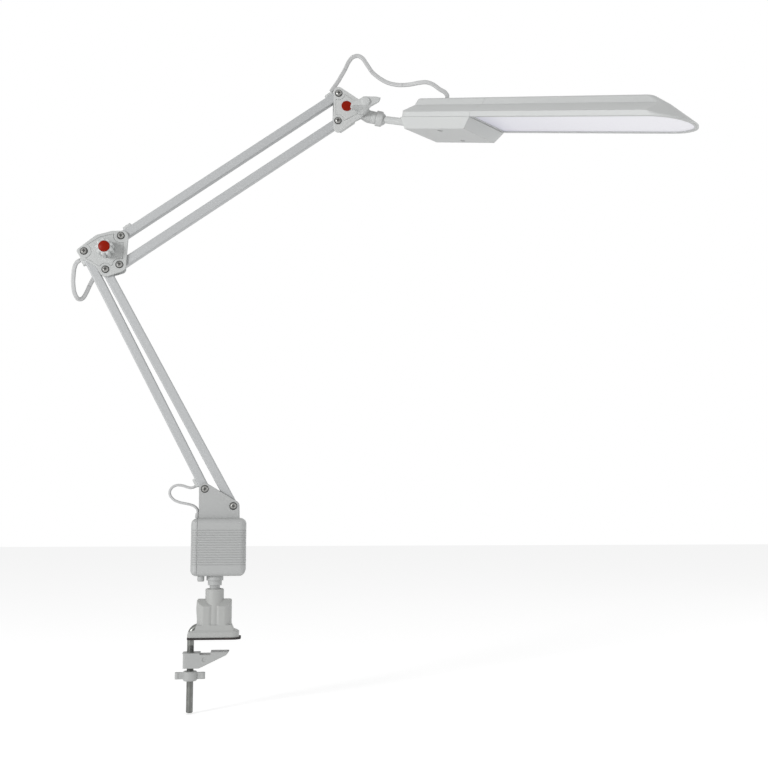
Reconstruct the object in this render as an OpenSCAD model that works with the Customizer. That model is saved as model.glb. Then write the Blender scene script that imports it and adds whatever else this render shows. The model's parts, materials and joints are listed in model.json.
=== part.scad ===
/* [Clamp] */
// Length of the rubber pad under the foot
pad_l = 67.3; // [58:0.1:80]
// Depth of the pad, front to back
pad_w = 34; // [30:1:44]
// Thickness of the pad
pad_t = 2.5; // [1.5:0.5:4]
// How far the foot stays inside the edge of the pad
foot_inset = 1; // [0.5:0.5:2]
// Height of the foot's flange at its edge
flange_h = 6.5; // [5:0.5:8]
// Width of the upright block of the foot
post_w = 44; // [40:1:50]
// Depth of the upright block
post_d = 25; // [23:1:28]
// Height of the block's top above the table
post_top = 50; // [44:1:60]
// Slope cut off the top front and back edges of the block
post_slope = 8.5; // [5:0.5:10]
// Width of the valley between the two lobes at its foot
valley_w = 15; // [8:1:18]
// Depth of the valley at its foot
valley_d = 7; // [3:0.5:8]
// Outer diameter of the socket collar
collar_d = 23.5; // [21:0.5:28]
// Height of the collar above the block
collar_h = 13; // [8:1:20]
// Diameter of the clamp rod
rod_d = 8.6; // [6:0.1:9]
// Distance from the swivel axis to the clamp rod
rod_x = 29.4; // [26:0.1:31]
// Radius of the rod's bend at its centre line
rod_bend = 12; // [8:0.5:12]
// Height of the rod's level run above the table
rod_level = 15.5; // [13:0.5:18]
// How far the rod reaches below the table
rod_drop = 92; // [80:1:130]
// Gap between the pad and the jaw, as photographed
jaw_open = 15.6; // [5:0.1:30]
// Height of the jaw at the rod
jaw_h = 20.3; // [18:0.1:30]
// Width of the jaw, front to back
jaw_w = 22; // [16:1:30]
// Reach of the jaw to the right of the swivel axis
jaw_reach = 19.5; // [15:0.5:30]
// Length of the raised land at the jaw's tip
jaw_land = 23; // [15:1:26]
// Gap between the jaw and the wing nut, as photographed
nut_gap = 4.4; // [0.5:0.1:8]
// Hub diameter of the wing nut
nut_d = 18; // [14:0.5:22]
// Hub height of the wing nut
nut_h = 12; // [8:0.5:16]
// Span of the wing nut over both wings
nut_span = 37; // [28:1:50]
// Thickness of the wing nut's wings
nut_wing_t = 5; // [3:0.5:7]

/* [Swivel] */
// Diameter of the swivel post in its bush
post_pin_d = 13.2; // [10:0.1:14]
// Wall of the nylon bush in the collar
bush_wall = 2; // [1.5:0.1:3]
// Depth of the swivel post below the collar's top
pin_depth = 34; // [20:1:36]
// Height of the bare neck above the collar
neck_h = 4.3; // [2:0.1:8]
// Diameter of the upper step of the post
step_hi_d = 21.6; // [18:0.2:24]
// Diameter of the lower step of the post
step_lo_d = 17.7; // [15:0.1:18]
// Height of each step
step_h = 6.1; // [4:0.1:8]

/* [Driver box] */
// Width of the box
box_w = 69.5; // [64:0.5:80]
// Height of the box
box_h = 73.3; // [66:0.1:90]
// Depth of the box
box_d = 42; // [38:1:50]
// Wall of the box
box_wall = 2.2; // [1.8:0.1:3]
// How far the box's middle sits right of the swivel axis
box_shift = 4.3; // [2:0.1:6]
// Corner radius of the box, seen from the front
box_corner = 8.5; // [6:0.5:10]
// Radius of the box's other edges
box_edge = 7; // [5:0.5:9]
// Pitch of the cooling ribs
rib_pitch = 3.1; // [2.2:0.1:4]
// Number of grooves between the ribs
rib_count = 15; // [8:1:18]
// Width of one groove
rib_gap = 0.9; // [0.6:0.1:1.6]
// Depth of one groove
rib_depth = 0.4; // [0.3:0.05:1]
// Corner radius of the cheeks that hold the arms
cheek_r = 7.4; // [6.8:0.1:9]
// Thickness of a cheek
cheek_t = 3.4; // [2.5:0.1:5]
// Outer diameter of the gland for the mains lead
gland_d = 9; // [8:0.5:12]
// Bore of the gland
gland_bore = 6.2; // [4:0.1:7]
// Length of the gland below the box
gland_h = 7; // [4:0.5:12]

/* [Arms] */
// Width of the square arm tube
tube_w = 11.8; // [11:0.1:13]
// Wall of the tube
tube_wall = 1; // [0.8:0.1:1.5]
// Corner radius of the tube
tube_r = 1.8; // [1.5:0.1:2.5]
// Lower arm, pivot to pivot
lower_arm_l = 348; // [280:1:420]
// Upper arm, pivot to pivot
upper_arm_l = 350; // [280:1:420]
// Lean of the lower arms back from upright, as photographed
lower_lean = 27.6; // [10:0.1:28]
// Rise of the upper arms above level, as photographed
upper_rise = 35.6; // [0:0.1:50]
// Diameter of the pivot screws
pivot_d = 4; // [3:0.1:5]
// Head diameter of the pivot screws
head_d = 10; // [8:0.5:11]
// Height of the screw heads
head_h = 3; // [2:0.1:4]
// Play round the screw at the two open pivots
open_play = 1.4; // [1.3:0.1:1.6]
// Length of a cable grommet along the tube
grommet_l = 12.5; // [11:0.5:18]
// Width of a cable grommet
grommet_w = 8; // [6:0.5:9]
// How far a grommet stands off the tube
grommet_h = 3.5; // [1:0.1:4]

/* [Joint plates] */
// Thickness of the flat of a plate
plate_t = 2.4; // [2:0.1:4]
// Height of the raised face on a plate
face_h = 0.9; // [0.4:0.1:1.5]
// Width of the low rim round the raised face
rim_w = 2.4; // [1.5:0.1:3]
// Corner radius of the elbow plates
elbow_r = 8; // [7.5:0.1:9]
// Corner radius of the head bracket plates
bracket_r = 8.6; // [8:0.1:9.5]
// Diameter of the tension knob over its lobes
knob_d = 22.7; // [18:0.1:28]
// Height of the tension knob
knob_h = 19; // [12:0.5:24]
// Number of lobes on the knob
knob_lobes = 9; // [7:1:12]
// Diameter of the red cap on the knob
cap_d = 14.6; // [10:0.1:16]
// Outer hub diameter of the wing knob
wing_hub_d = 11.4; // [10:0.1:14]
// Length of the wing knob, off the plate
wing_l = 30; // [20:1:36]
// Span over the wings
wing_span = 37; // [28:1:44]
// Thickness of the wings
wing_t = 6.2; // [3:0.1:7]
// Turn of the wings from level, as photographed
wing_turn = 16; // [0:1:180]
// Bolt diameter in both knobs
bolt_d = 6; // [4:0.5:6]

/* [Ball joint] */
// Diameter of the ball
ball_d = 18; // [16:0.5:18]
// Outer diameter of the socket
socket_d = 20.8; // [20:0.1:23]
// How far the socket's lip reaches past the middle of the ball
lip_reach = 2.9; // [2:0.1:4]
// Height of the tongue between the plates
tongue_h = 14; // [11:0.5:15]
// Droop of the tongue below level, as photographed
tongue_droop = 10; // [0:1:20]
// Diameter of the head's rod
stem_d = 10; // [7:0.1:10.4]
// Diameter of the rod's neck beside the ball
stem_neck = 6.6; // [5:0.1:7]
// Length of the rod from the middle of the ball to the head
stem_l = 65; // [60:1:90]
// Turn of the head towards the front, as photographed
head_yaw = 40.5; // [0:0.5:42]
// Droop of the rod, as photographed
stem_droop = 17.3; // [5:0.1:19]

/* [Head] */
// Length of the head
head_l = 382.5; // [340:0.5:440]
// Width over the rim
head_w = 88; // [80:0.2:100]
// Height of the upright rim
rim_h = 6.5; // [5:0.1:9]
// Height of the rim at the tip of the nose
nose_rim = 2.4; // [2:0.1:4]
// Height of the ridge's foot
shoulder_h = 22.1; // [18:0.1:26]
// Height of the top
roof_h = 32.2; // [27:0.1:36]
// Half width of the flat top
roof_half = 14.4; // [13:0.1:24]
// Wall of the head's mouldings
head_wall = 2; // [1.5:0.1:2.5]
// Length of the rear housing
rear_l = 106.2; // [100:0.1:130]
// Depth of the cover under the rear housing
cover_h = 14.3; // [11:0.1:20]
// How far the cover's sides slope inwards
cover_draft = 5.2; // [2:0.1:6]
// Length of the sloping nose
nose_l = 52; // [45:1:70]
// Width of the lip that holds the diffuser
lip_w = 4.5; // [4.2:0.1:6]
// Thickness of the diffuser
diffuser_t = 1.6; // [1.2:0.1:1.6]
// Droop of the head, as photographed
head_droop = 11.3; // [0:0.1:15]
// Roll of the head, as photographed
head_roll = 2.1; // [0:0.1:5]
// How far the head's parting line sits below the end of the rod
head_sink = 1.3; // [0:0.1:2.5]

/* [Flex] */
// Wide side of the flat flex
flex_w = 5.6; // [4:0.1:6]
// Narrow side of the flat flex
flex_t = 3.6; // [2.5:0.1:3.8]

/* [Fits] */
// Running gap round a pivot, on the radius
run_gap = 0.05; // [0.02:0.01:0.08]
// Gap between the arms and the plates at each side
side_gap = 0.6; // [0.4:0.1:1]
// Sliding gap round the clamp rod, on the radius
slide_gap = 0.1; // [0.05:0.01:0.1]
// Gap round the ball, on the radius
ball_gap = 0.1; // [0.05:0.01:0.2]
// Gap where two fixed pieces are assembled
fit_gap = 0.1; // [0.05:0.01:0.2]

/* [Hidden] */
$fn = 64;

grey = [0.76, 0.77, 0.77];
tube_grey = [0.73, 0.74, 0.76];
steel = [0.35, 0.35, 0.36];
red = [0.55, 0.1, 0.06];
nylon = [0.93, 0.93, 0.9];
black = [0.06, 0.06, 0.06];

// Heights of the clamp and the driver box above the table
collar_top = post_top + collar_h;
box_bottom = collar_top + neck_h + 2 * step_h;
box_top = box_bottom + box_h;
box_mid = box_bottom + box_h / 2;

// The pad's two ends, from the swivel axis
pad_left = -(rod_x + rod_d / 2 - 0.5);
pad_right = pad_left + pad_l;

// Inner face of every pair of plates, and the outer faces
gap_half = tube_w / 2 + side_gap;
cheek_face = gap_half + cheek_t;
plate_face = gap_half + plate_t + face_h;
cheek_stack = 2 * cheek_face;
plate_stack = 2 * plate_face;

// Pivots as [x, z]: the two on the cheeks, then the four on the elbow, from its first pivot
pivot_p1 = [-14.3, 190.1 - 152.8 + box_top];
pivot_p2 = [22.4, 168.2 - 152.8 + box_top];
elbow_s4 = [28.1, -23.6];
elbow_s2 = [46.7, 21.5];
elbow_s3 = [45.85, -16.9];
knob_at = [28.4, 2.7];
pivot_s1 = pivot_p1 + lower_arm_l * [-sin(lower_lean), cos(lower_lean)];
pivot_s4 = pivot_s1 + elbow_s4;
pivot_s2 = pivot_s1 + elbow_s2;
pivot_s3 = pivot_s1 + elbow_s3;
knob_pos = pivot_s1 + knob_at;
upper_run = upper_arm_l * [cos(upper_rise), sin(upper_rise)];
pivot_u1 = pivot_s2 + upper_run;
pivot_u2 = pivot_s3 + upper_run;

// Head bracket, from its first pivot: wing bolt, lower corner and red cap
wing_at = [31.3, -21.4];
low_corner = [-0.4, -45];
cap_at = [10.9, -17.6];
wing_pos = pivot_u1 + wing_at;
cap_pos = pivot_u1 + cap_at;

// Ball joint
ball_r = ball_d / 2;
ball_back = 26.7;
ball_drop = 4.6;
ball_pos = wing_pos + [ball_back * cos(tongue_droop), -ball_back * sin(tongue_droop) - ball_drop];
washer_t = 0.7;
tongue_half = gap_half - washer_t - 0.15;
stem_end = stem_l * [cos(stem_droop) * cos(head_yaw), -cos(stem_droop) * sin(head_yaw), -sin(stem_droop)];

// Head
head_half = head_w / 2;
nose_x = head_l - nose_l;
lip_h = 1.4;

// Angle and length of a line between two pivots
function heading(a, b) = atan2(b[1] - a[1], b[0] - a[0]);
function span_of(a, b) = norm(b - a);

// A pivot's own frame: +Z runs from the front to the back, from depth y
module at_pivot(p, y = 0) {
  translate([p[0], y, p[1]])
    rotate([-90, 0, 0])
      children();
}

// A front outline drawn as (x, z), from depth y towards the back
module front_plate(y, thick) {
  translate([0, y + thick, 0])
    rotate([90, 0, 0])
      linear_extrude(thick)
        children();
}

// The ball's frame, and the head's frame at the end of the rod
module at_ball() {
  translate([ball_pos[0], 0, ball_pos[1]])
    children();
}

module at_head() {
  at_ball()
    translate(stem_end - [0, 0, head_sink])
      rotate([head_roll, head_droop, -head_yaw])
        children();
}

// Rectangle with true round corners
module round_rect(w, h, r) {
  square([w - 2 * r, h], center = true);
  square([w, h - 2 * r], center = true);
  for (x = [-1, 1], y = [-1, 1])
    translate([x * (w / 2 - r), y * (h / 2 - r)])
      circle(r = r);
}

// Straight bar with round ends; its sides lie a hair inside the ends, so that they cross cleanly
module bar(a, b, r) {
  translate(a)
    rotate(heading(a, b))
      translate([0, -r + 0.02])
        square([span_of(a, b), 2 * r - 0.04]);
  translate(a)
    circle(r = r);
  translate(b)
    circle(r = r);
}

// Outline with true round corners about a closed list of points
module round_outline(pts, r) {
  polygon(pts);
  for (i = [0:len(pts) - 1])
    bar(pts[i], pts[(i + 1) % len(pts)], r);
}

// Pan head with a cross recess, its underside at z = 0, pointing down
module pan_head(d, h) {
  dome = (d * d / 4 + h * h) / (2 * h);
  difference() {
    intersection() {
      translate([0, 0, -h + dome])
        sphere(r = dome);
      translate([0, 0, -h])
        cylinder(d = d, h = h);
      translate([0, 0, -h])
        cylinder(d1 = d * 0.9, d2 = d * 1.9, h = h);
    }
    for (turn = [0, 90])
      rotate(turn)
        translate([-d * 0.26, -d * 0.055, -h - 0.1])
          cube([d * 0.52, d * 0.11, h * 0.55]);
  }
}

// Screw through a stack of plates, head at the front
module through_screw(stack) {
  pan_head(head_d, head_h);
  cylinder(d = pivot_d, h = stack + nut_m + 1);
}

nut_af = 7;
nut_m = 3.2;

// Nut behind the stack
module back_nut(stack) {
  translate([0, 0, stack])
    difference() {
      cylinder(d = nut_af / cos(30), h = nut_m, $fn = 6);
      translate([0, 0, -1])
        cylinder(d = pivot_d + 2 * fit_gap, h = nut_m + 2);
    }
}

// Foot of the clamp: flange, two-lobed block and collar
module foot_side() {
  side = pad_w / 2 - foot_inset;
  polygon([[-side, pad_t], [-side, pad_t + flange_h], [-post_d / 2 - 1.5, pad_t + flange_h + 3],
    [-post_d / 2, pad_t + flange_h + 8], [-post_d / 2, post_top - post_slope],
    [-post_d / 2 + post_slope, post_top], [post_d / 2 - post_slope, post_top],
    [post_d / 2, post_top - post_slope], [post_d / 2, pad_t + flange_h + 8],
    [post_d / 2 + 1.5, pad_t + flange_h + 3], [side, pad_t + flange_h], [side, pad_t]]);
}

module foot_front() {
  left = pad_left + foot_inset;
  right = pad_right - foot_inset - 1.5;
  half = post_w / 2;
  polygon([[left, pad_t], [left, pad_t + flange_h], [-half - 2, pad_t + flange_h + 2.5],
    [-half, pad_t + flange_h + 9], [-half + 0.4, pad_t + flange_h + 15], [-half - 1, post_top - 12],
    [-half, post_top - 1.5], [-half + 1.5, post_top], [half - 1.5, post_top], [half, post_top - 1.5],
    [half, pad_t + flange_h + 9], [half + 2.8, pad_t + flange_h + 2.5], [right, pad_t + flange_h],
    [right, pad_t]]);
}

module foot_plan(inset) {
  mid = (pad_left + pad_right) / 2;
  intersection() {
    translate([mid, 0])
      round_rect(pad_l - 2 * inset, pad_w - 2 * inset, 3);
    translate([pad_left, -pad_w])
      square([pad_l - pad_w / 2, 2 * pad_w]);
  }
  translate([pad_right - pad_w / 2, 0])
    intersection() {
      round_rect(pad_w - 2 * inset, pad_w - 2 * inset, 11);
      translate([-0.01, -pad_w])
        square([pad_w, 2 * pad_w]);
    }
}

// Room for the rod where it rises past the pad's edge
module rod_notch(top) {
  translate([-rod_x, 0, -1])
    cylinder(r = rod_d / 2 + 0.4, h = top + 1);
  translate([-rod_x - 20, -rod_d / 2 - 0.4, -1])
    cube([20, rod_d + 0.8, top + 1]);
}

// Plan of the block: two round lobes
module lobe_plan() {
  lobe_d = post_d + 1;
  for (side = [-1, 1])
    translate([side * (post_w / 2 + 1 - lobe_d / 2), 0])
      circle(d = lobe_d);
  square([post_w + 2 - lobe_d, post_d * 0.8], center = true);
}

module clamp_base() {
  color(grey)
    difference() {
      union() {
        intersection() {
          translate([0, -pad_w, 0])
            front_extrude_foot();
          rotate([90, 0, 90])
            translate([0, 0, -100])
              linear_extrude(200)
                foot_side();
          linear_extrude(100)
            union() {
              foot_plan(foot_inset);
              lobe_plan();
            }
          union() {
            linear_extrude(pad_t + flange_h + 9)
              square(200, center = true);
            linear_extrude(post_top)
              lobe_plan();
          }
        }
        translate([0, 0, pad_t])
          cylinder(d = collar_d, h = collar_top - pad_t - 1);
        translate([0, 0, collar_top - 1])
          cylinder(d1 = collar_d, d2 = collar_d - 2, h = 1);
      }
      for (side = [0, 180])
        rotate(side)
          foot_valley();
      translate([0, 0, collar_top - pin_depth])
        cylinder(r = post_pin_d / 2 + run_gap + bush_wall + fit_gap, h = pin_depth + 1);
      rod_path(rod_d / 2 + fit_gap);
      rod_notch(rod_level);
    }
}

module front_extrude_foot() {
  translate([0, 2 * pad_w, 0])
    rotate([90, 0, 0])
      linear_extrude(2 * pad_w)
        foot_front();
}

valley_x = -1.5;

// Valley between the lobes, deeper towards the table
module foot_valley() {
  low = pad_t + flange_h + 1;
  high = post_top - post_slope - 1;
  tilt = atan2(valley_d, high - low);
  translate([valley_x, -post_d / 2, high])
    rotate([-tilt, 0, 0])
      translate([0, 0, -(high - low) / cos(tilt)])
        linear_extrude((high - low) / cos(tilt))
          polygon([[-valley_w, -valley_d], [valley_w, -valley_d], [0, valley_d * 0.02 + 0.01]]);
}

module clamp_pad() {
  color(black)
    difference() {
      linear_extrude(pad_t)
        foot_plan(0);
      rod_notch(pad_t + 1);
    }
}

// Rod: up past the pad, round the bend and into the foot
module rod_path(r) {
  level = rod_level + 0;
  translate([-rod_x, 0, -rod_drop])
    cylinder(r = r, h = rod_drop + level - rod_bend);
  translate([-rod_x + rod_bend, 0, level - rod_bend])
    rotate([90, 0, 180])
      rotate_extrude(angle = 90)
        translate([rod_bend, 0])
          mirror([0, 0])
            circle(r = r);
  translate([-rod_x + rod_bend, 0, level])
    rotate([0, 90, 0])
      cylinder(r = r, h = rod_x - rod_bend + rod_in);
}

rod_in = 6;

module clamp_rod() {
  color(steel)
    difference() {
      rod_path(rod_d / 2);
      translate([-rod_x, 0, -rod_drop])
        difference() {
          translate([0, 0, -0.1])
            cylinder(d = rod_d + 1, h = 1.1);
          translate([0, 0, -0.2])
            cylinder(d1 = rod_d - 2.4, d2 = rod_d, h = 1.2);
        }
    }
}

module swivel_bush() {
  low = collar_top - pin_depth;
  color(nylon)
    translate([0, 0, low])
      difference() {
        cylinder(r = post_pin_d / 2 + run_gap + bush_wall, h = pin_depth - 0.6);
        translate([0, 0, bush_wall])
          cylinder(r = post_pin_d / 2 + run_gap, h = pin_depth);
      }
}

// Jaw that slides on the rod
module jaw() {
  top = -jaw_open;
  back = -rod_x - rod_d / 2 - 4.4;
  land = jaw_reach - jaw_land;
  low = top - jaw_h;
  color(grey)
    difference() {
      intersection() {
        front_plate(-jaw_w / 2, jaw_w)
          polygon([[back, low], [back, top - 3], [back - 0.9, top - 1.4], [back + 1, top - 1.4],
            [land - 13.5, top - 1.4], [land - 13.5, top - 3.4], [land, top - 3.4], [land, top],
            [jaw_reach, top], [jaw_reach - 3.4, top - 4.2], [-rod_x + 11.5, low]]);
        translate([0, 0, low - 1])
          linear_extrude(jaw_h + 2)
            translate([(back + jaw_reach) / 2, 0])
              round_rect(jaw_reach - back + 2, jaw_w, 4);
      }
      translate([-rod_x, 0, low - 1])
        cylinder(r = rod_d / 2 + slide_gap, h = jaw_h + 2);
      for (side = [-1, 1])
        translate([land - 8, side * (jaw_w / 2 + 1), top - 9.5])
          rotate([90, 0, 0])
            cylinder(d = 5, h = 3, center = true);
    }
}

// Wing nut under the jaw
module wing_nut() {
  top = -jaw_open - jaw_h - nut_gap;
  wing_h = nut_h * 0.7;
  color(grey)
    translate([-rod_x, 0, top - nut_h])
      difference() {
        union() {
          cylinder(d1 = nut_d - 2, d2 = nut_d, h = 1.5);
          translate([0, 0, 1.5])
            cylinder(d = nut_d, h = nut_h - 3);
          translate([0, 0, nut_h - 1.5])
            cylinder(d1 = nut_d, d2 = nut_d - 2, h = 1.5);
          for (side = [-1, 1])
            translate([side * (nut_span / 2 - nut_wing_t / 2), 0, nut_h * 0.18]) {
              cylinder(d = nut_wing_t * 1.25, h = wing_h);
              translate([side > 0 ? -nut_span / 2 + nut_wing_t : 0, -nut_wing_t / 2, 0])
                cube([nut_span / 2 - nut_wing_t, nut_wing_t, wing_h]);
            }
        }
        translate([0, 0, -1])
          cylinder(r = rod_d / 2 + run_gap, h = nut_h + 2);
      }
}

// Post that carries the driver box and turns in the bush
module swivel_post() {
  low = collar_top - pin_depth + bush_wall + 0.3;
  neck = collar_top + neck_h;
  color(grey)
    difference() {
      union() {
        translate([0, 0, low])
          cylinder(d = post_pin_d, h = neck - low + 1);
        translate([0, 0, neck])
          cylinder(d = step_lo_d, h = step_h + 0.5);
        translate([0, 0, neck + step_h])
          cylinder(d = step_hi_d, h = step_h);
        translate([0, 0, box_bottom - 0.5])
          cylinder(d = step_lo_d, h = box_wall + 4.5);
      }
      translate([0, 0, low - 1])
        cylinder(d = 4, h = 200);
    }
}

// The box's solid form, grown or shrunk by g
module box_form(g) {
  w = box_w + 2 * g;
  h = box_h + 2 * g;
  d = box_d + 2 * g;
  translate([box_shift, 0, box_mid])
    intersection() {
      rotate([90, 0, 0])
        linear_extrude(100, center = true)
          round_rect(w, h, box_corner + g);
      linear_extrude(200, center = true)
        round_rect(w, d, box_edge + g);
      rotate([90, 0, 90])
        linear_extrude(200, center = true)
          round_rect(d, h, box_edge + g);
    }
}

// Outline of a cheek, from the box's top to both pivots
module cheek_outline() {
  foot = box_top - 6;
  intersection() {
    round_outline([pivot_p1, pivot_p2, [pivot_p2[0] + 0.4, foot], [pivot_p1[0] + 0.4, foot]], cheek_r);
    translate([-200, box_top - box_wall])
      square([400, 200]);
  }
}

module rib_grooves() {
  for (i = [0:rib_count - 1])
    translate([box_shift, 0, box_mid + (i - (rib_count - 1) / 2) * rib_pitch - rib_gap / 2 - 0.4])
      linear_extrude(rib_gap)
        difference() {
          round_rect(box_w + 4, box_d + 4, box_edge + 2);
          round_rect(box_w - 2 * rib_depth, box_d - 2 * rib_depth, box_edge - rib_depth);
        }
}

// One half of the driver housing with its cheek: side -1 is the front, 1 the back
module housing_half(side) {
  difference() {
    union() {
      intersection() {
        difference() {
          box_form(0);
          box_form(-box_wall);
        }
        translate([-200, side > 0 ? 0 : -100, 0])
          cube([400, 100, 400]);
      }
      front_plate(side > 0 ? gap_half : -cheek_face, cheek_t)
        cheek_outline();
      for (x = [-1, 1])
        translate([box_shift + x * (box_w / 2 - 9), side > 0 ? 0 : -box_d / 2 + 1, boss_z])
          rotate([-90, 0, 0])
            cylinder(d = boss_d, h = box_d / 2 - 1);
    }
    rib_grooves();
    translate([0, 0, box_bottom - 1])
      cylinder(d = step_lo_d + 2 * fit_gap, h = box_wall + 3);
    translate([gland_x, gland_y, box_bottom - 1])
      cylinder(d = gland_d - 2 + 2 * fit_gap, h = box_wall + 3);
    translate([outlet_x, 0, box_top - 6])
      cylinder(d = outlet_d - 2 + 2 * fit_gap, h = 10);
    for (p = [pivot_p1, pivot_p2])
      at_pivot(p, -cheek_face - 1)
        cylinder(d = pivot_d + 2 * fit_gap, h = cheek_stack + 2);
  }
}

boss_d = 6;
boss_z = box_bottom + 10.65;
gland_x = -17.5;
gland_y = -8;
outlet_x = -23.4;
outlet_d = 6.6;
outlet_top = box_top + 6;
seam_x = -22.2;

module housing_front() {
  color(grey)
    difference() {
      housing_half(-1);
      intersection() {
        difference() {
          box_form(0.1);
          box_form(-0.5);
        }
        translate([seam_x - 0.2, -60, box_bottom - 1])
          cube([0.4, 50, box_h + 2]);
      }
    }
}

module housing_rear() {
  color(grey)
    housing_half(1);
}

// Circuit board with its transformer and capacitors, above the box's bosses
module driver_board() {
  board_w = box_w - 2 * box_wall - 8;
  low = boss_z + boss_d / 2 + 0.6;
  high = box_top - box_wall - 4;
  color([0.15, 0.35, 0.2])
    translate([box_shift, 0, 0]) {
      translate([-board_w / 2, 8, low])
        cube([board_w, 1.6, high - low]);
      translate([-20, -8, high - 27])
        cube([24, 16.1, 22]);
      translate([14, 8.1, high - 15])
        rotate([90, 0, 0])
          cylinder(d = 12, h = 18);
      translate([12, 8.1, high - 37])
        rotate([90, 0, 0])
          cylinder(d = 9, h = 14);
      translate([-20, -2, high - 45])
        cube([18, 10.1, 10]);
      for (x = [-1, 1])
        translate([x * (board_w / 2 - 6), 9, high - 6])
          rotate([-90, 0, 0])
            cylinder(d = boss_d, h = box_d / 2 - box_wall - 9);
    }
}

// Gland for the mains lead, open from below into the box
module cord_gland() {
  color(grey)
    translate([gland_x, gland_y, box_bottom])
      difference() {
        union() {
          translate([0, 0, -gland_h])
            cylinder(d1 = gland_d - 1.4, d2 = gland_d, h = 1.5);
          translate([0, 0, -gland_h + 1.5])
            cylinder(d = gland_d, h = gland_h - 1.5);
          translate([0, 0, -1])
            cylinder(d = gland_d - 2, h = box_wall + 3);
        }
        translate([0, 0, -gland_h - 1])
          cylinder(d = gland_bore, h = gland_h + box_wall + 5);
      }
}

// Rubber outlet for the lamp flex on the box's shoulder
module flex_outlet() {
  color(grey)
    translate([outlet_x, 0, 0]) {
      translate([0, 0, box_top + 0.1])
        cylinder(d = outlet_d, h = 2);
      translate([0, 0, box_top + 2])
        cylinder(d1 = outlet_d, d2 = outlet_d - 1, h = outlet_top - box_top - 2);
      translate([0, 0, box_top - box_wall - 2.5])
        cylinder(d = outlet_d - 2, h = box_wall + 3);
    }
}

module base_screws() {
  color(steel)
    for (p = [pivot_p1, pivot_p2])
      at_pivot(p, -cheek_face)
        through_screw(cheek_stack);
}

module base_nuts() {
  color(steel)
    for (p = [pivot_p1, pivot_p2])
      at_pivot(p, -cheek_face)
        back_nut(cheek_stack);
}

// Puts an arm's own frame, x along the arm, on two pivots
module on_arm(a, b) {
  translate([a[0], 0, a[1]])
    rotate([0, -heading(a, b), 0])
      children();
}

end_cut = 4.5;
inner_w = tube_w - 2 * tube_wall;

// Square tube from pivot to pivot; slots are the grommets' middles, on the given side
module arm_tube(l, slots, side, play) {
  color(tube_grey)
    difference() {
      translate([-end_cut, 0, 0])
        rotate([90, 0, 90])
          linear_extrude(l + 2 * end_cut)
            difference() {
              round_rect(tube_w, tube_w, tube_r);
              round_rect(inner_w, inner_w, tube_r - tube_wall);
            }
      translate([0, -tube_w, 0])
        rotate([-90, 0, 0])
          cylinder(r = pivot_d / 2 + run_gap, h = 2 * tube_w);
      translate([l, -tube_w, 0])
        rotate([-90, 0, 0])
          cylinder(r = pivot_d / 2 + run_gap + play, h = 2 * tube_w);
      for (x = slots)
        translate([x, 0, side * tube_w / 2])
          grommet_neck(fit_gap);
    }
}

// Moulded end pieces that carry the pivot bores
module arm_ends(l, play) {
  body = inner_w - 2 * fit_gap;
  color(nylon)
    for (end = [0, 1])
      translate([end * l, 0, 0])
        rotate([0, end * 180, 0])
          difference() {
            union() {
              intersection() {
                translate([-body, 0, 0])
                  rotate([90, 0, 90])
                    linear_extrude(body + 5)
                      round_rect(body, body, tube_r - tube_wall);
                union() {
                  rotate([90, 0, 0])
                    cylinder(d = body + 0.6, h = 2 * tube_w, center = true);
                  translate([0, -tube_w, -tube_w])
                    cube([6, 2 * tube_w, 2 * tube_w]);
                }
              }
              intersection() {
                rotate([90, 0, 0])
                  cylinder(d = tube_w, h = tube_w - 0.6, center = true);
                translate([-tube_w, -tube_w, -tube_w])
                  cube([tube_w - end_cut - fit_gap, 2 * tube_w, 2 * tube_w]);
              }
            }
            rotate([90, 0, 0])
              cylinder(r = pivot_d / 2 + run_gap + end * play, h = 2 * tube_w, center = true);
          }
}

// Part of a grommet that passes through the tube's wall
module grommet_neck(g) {
  translate([0, 0, -tube_wall - 0.4])
    linear_extrude(tube_wall + 1)
      round_rect(grommet_l - 4 + 2 * g, grommet_w - 3.4 + 2 * g, 2 + g);
}

module grommets(slots, side) {
  color(grey)
    for (x = slots)
      translate([x, 0, side * tube_w / 2])
        mirror([0, 0, side < 0 ? 1 : 0]) {
          translate([0, 0, 0.02])
            linear_extrude(grommet_h * 0.3)
              round_rect(grommet_l, grommet_w, 2.2);
          linear_extrude(grommet_h)
            round_rect(grommet_l - 1, grommet_w - 1, 1.8);
          translate([0, 0, -tube_wall])
            linear_extrude(tube_wall + 0.5)
              round_rect(grommet_l - 4, grommet_w - 3.4, 2);
        }
}

// Flex inside an arm, from one grommet to the other
module inner_flex(slots, side) {
  color(nylon)
    translate([slots[0] - 3, 0, side * (inner_w / 2 - flex_t / 2 - 0.3)])
      rotate([90, 0, 90])
        linear_extrude(slots[1] - slots[0] + 6)
          round_rect(flex_w, flex_t, flex_t / 2 - 0.1);
}

// The arms' two grommets each, as distances from the first pivot
lower_slots = [12.5, lower_arm_l - 10];
upper_slots = [14, upper_arm_l - 10];

module lower_arm_a() {
  on_arm(pivot_p1, pivot_s1)
    arm_tube(lower_arm_l, lower_slots, 1, 0);
}

module lower_arm_a_ends() {
  on_arm(pivot_p1, pivot_s1)
    arm_ends(lower_arm_l, 0);
}

module lower_arm_b() {
  on_arm(pivot_p2, pivot_s4)
    arm_tube(span_of(pivot_p2, pivot_s4), [], 1, open_play);
}

module lower_arm_b_ends() {
  on_arm(pivot_p2, pivot_s4)
    arm_ends(span_of(pivot_p2, pivot_s4), open_play);
}

module lower_arm_grommets() {
  on_arm(pivot_p1, pivot_s1)
    grommets(lower_slots, 1);
}

module lower_arm_flex() {
  on_arm(pivot_p1, pivot_s1)
    inner_flex(lower_slots, 1);
}

module upper_arm_a() {
  on_arm(pivot_s2, pivot_u1)
    arm_tube(upper_arm_l, upper_slots, 1, 0);
}

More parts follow.
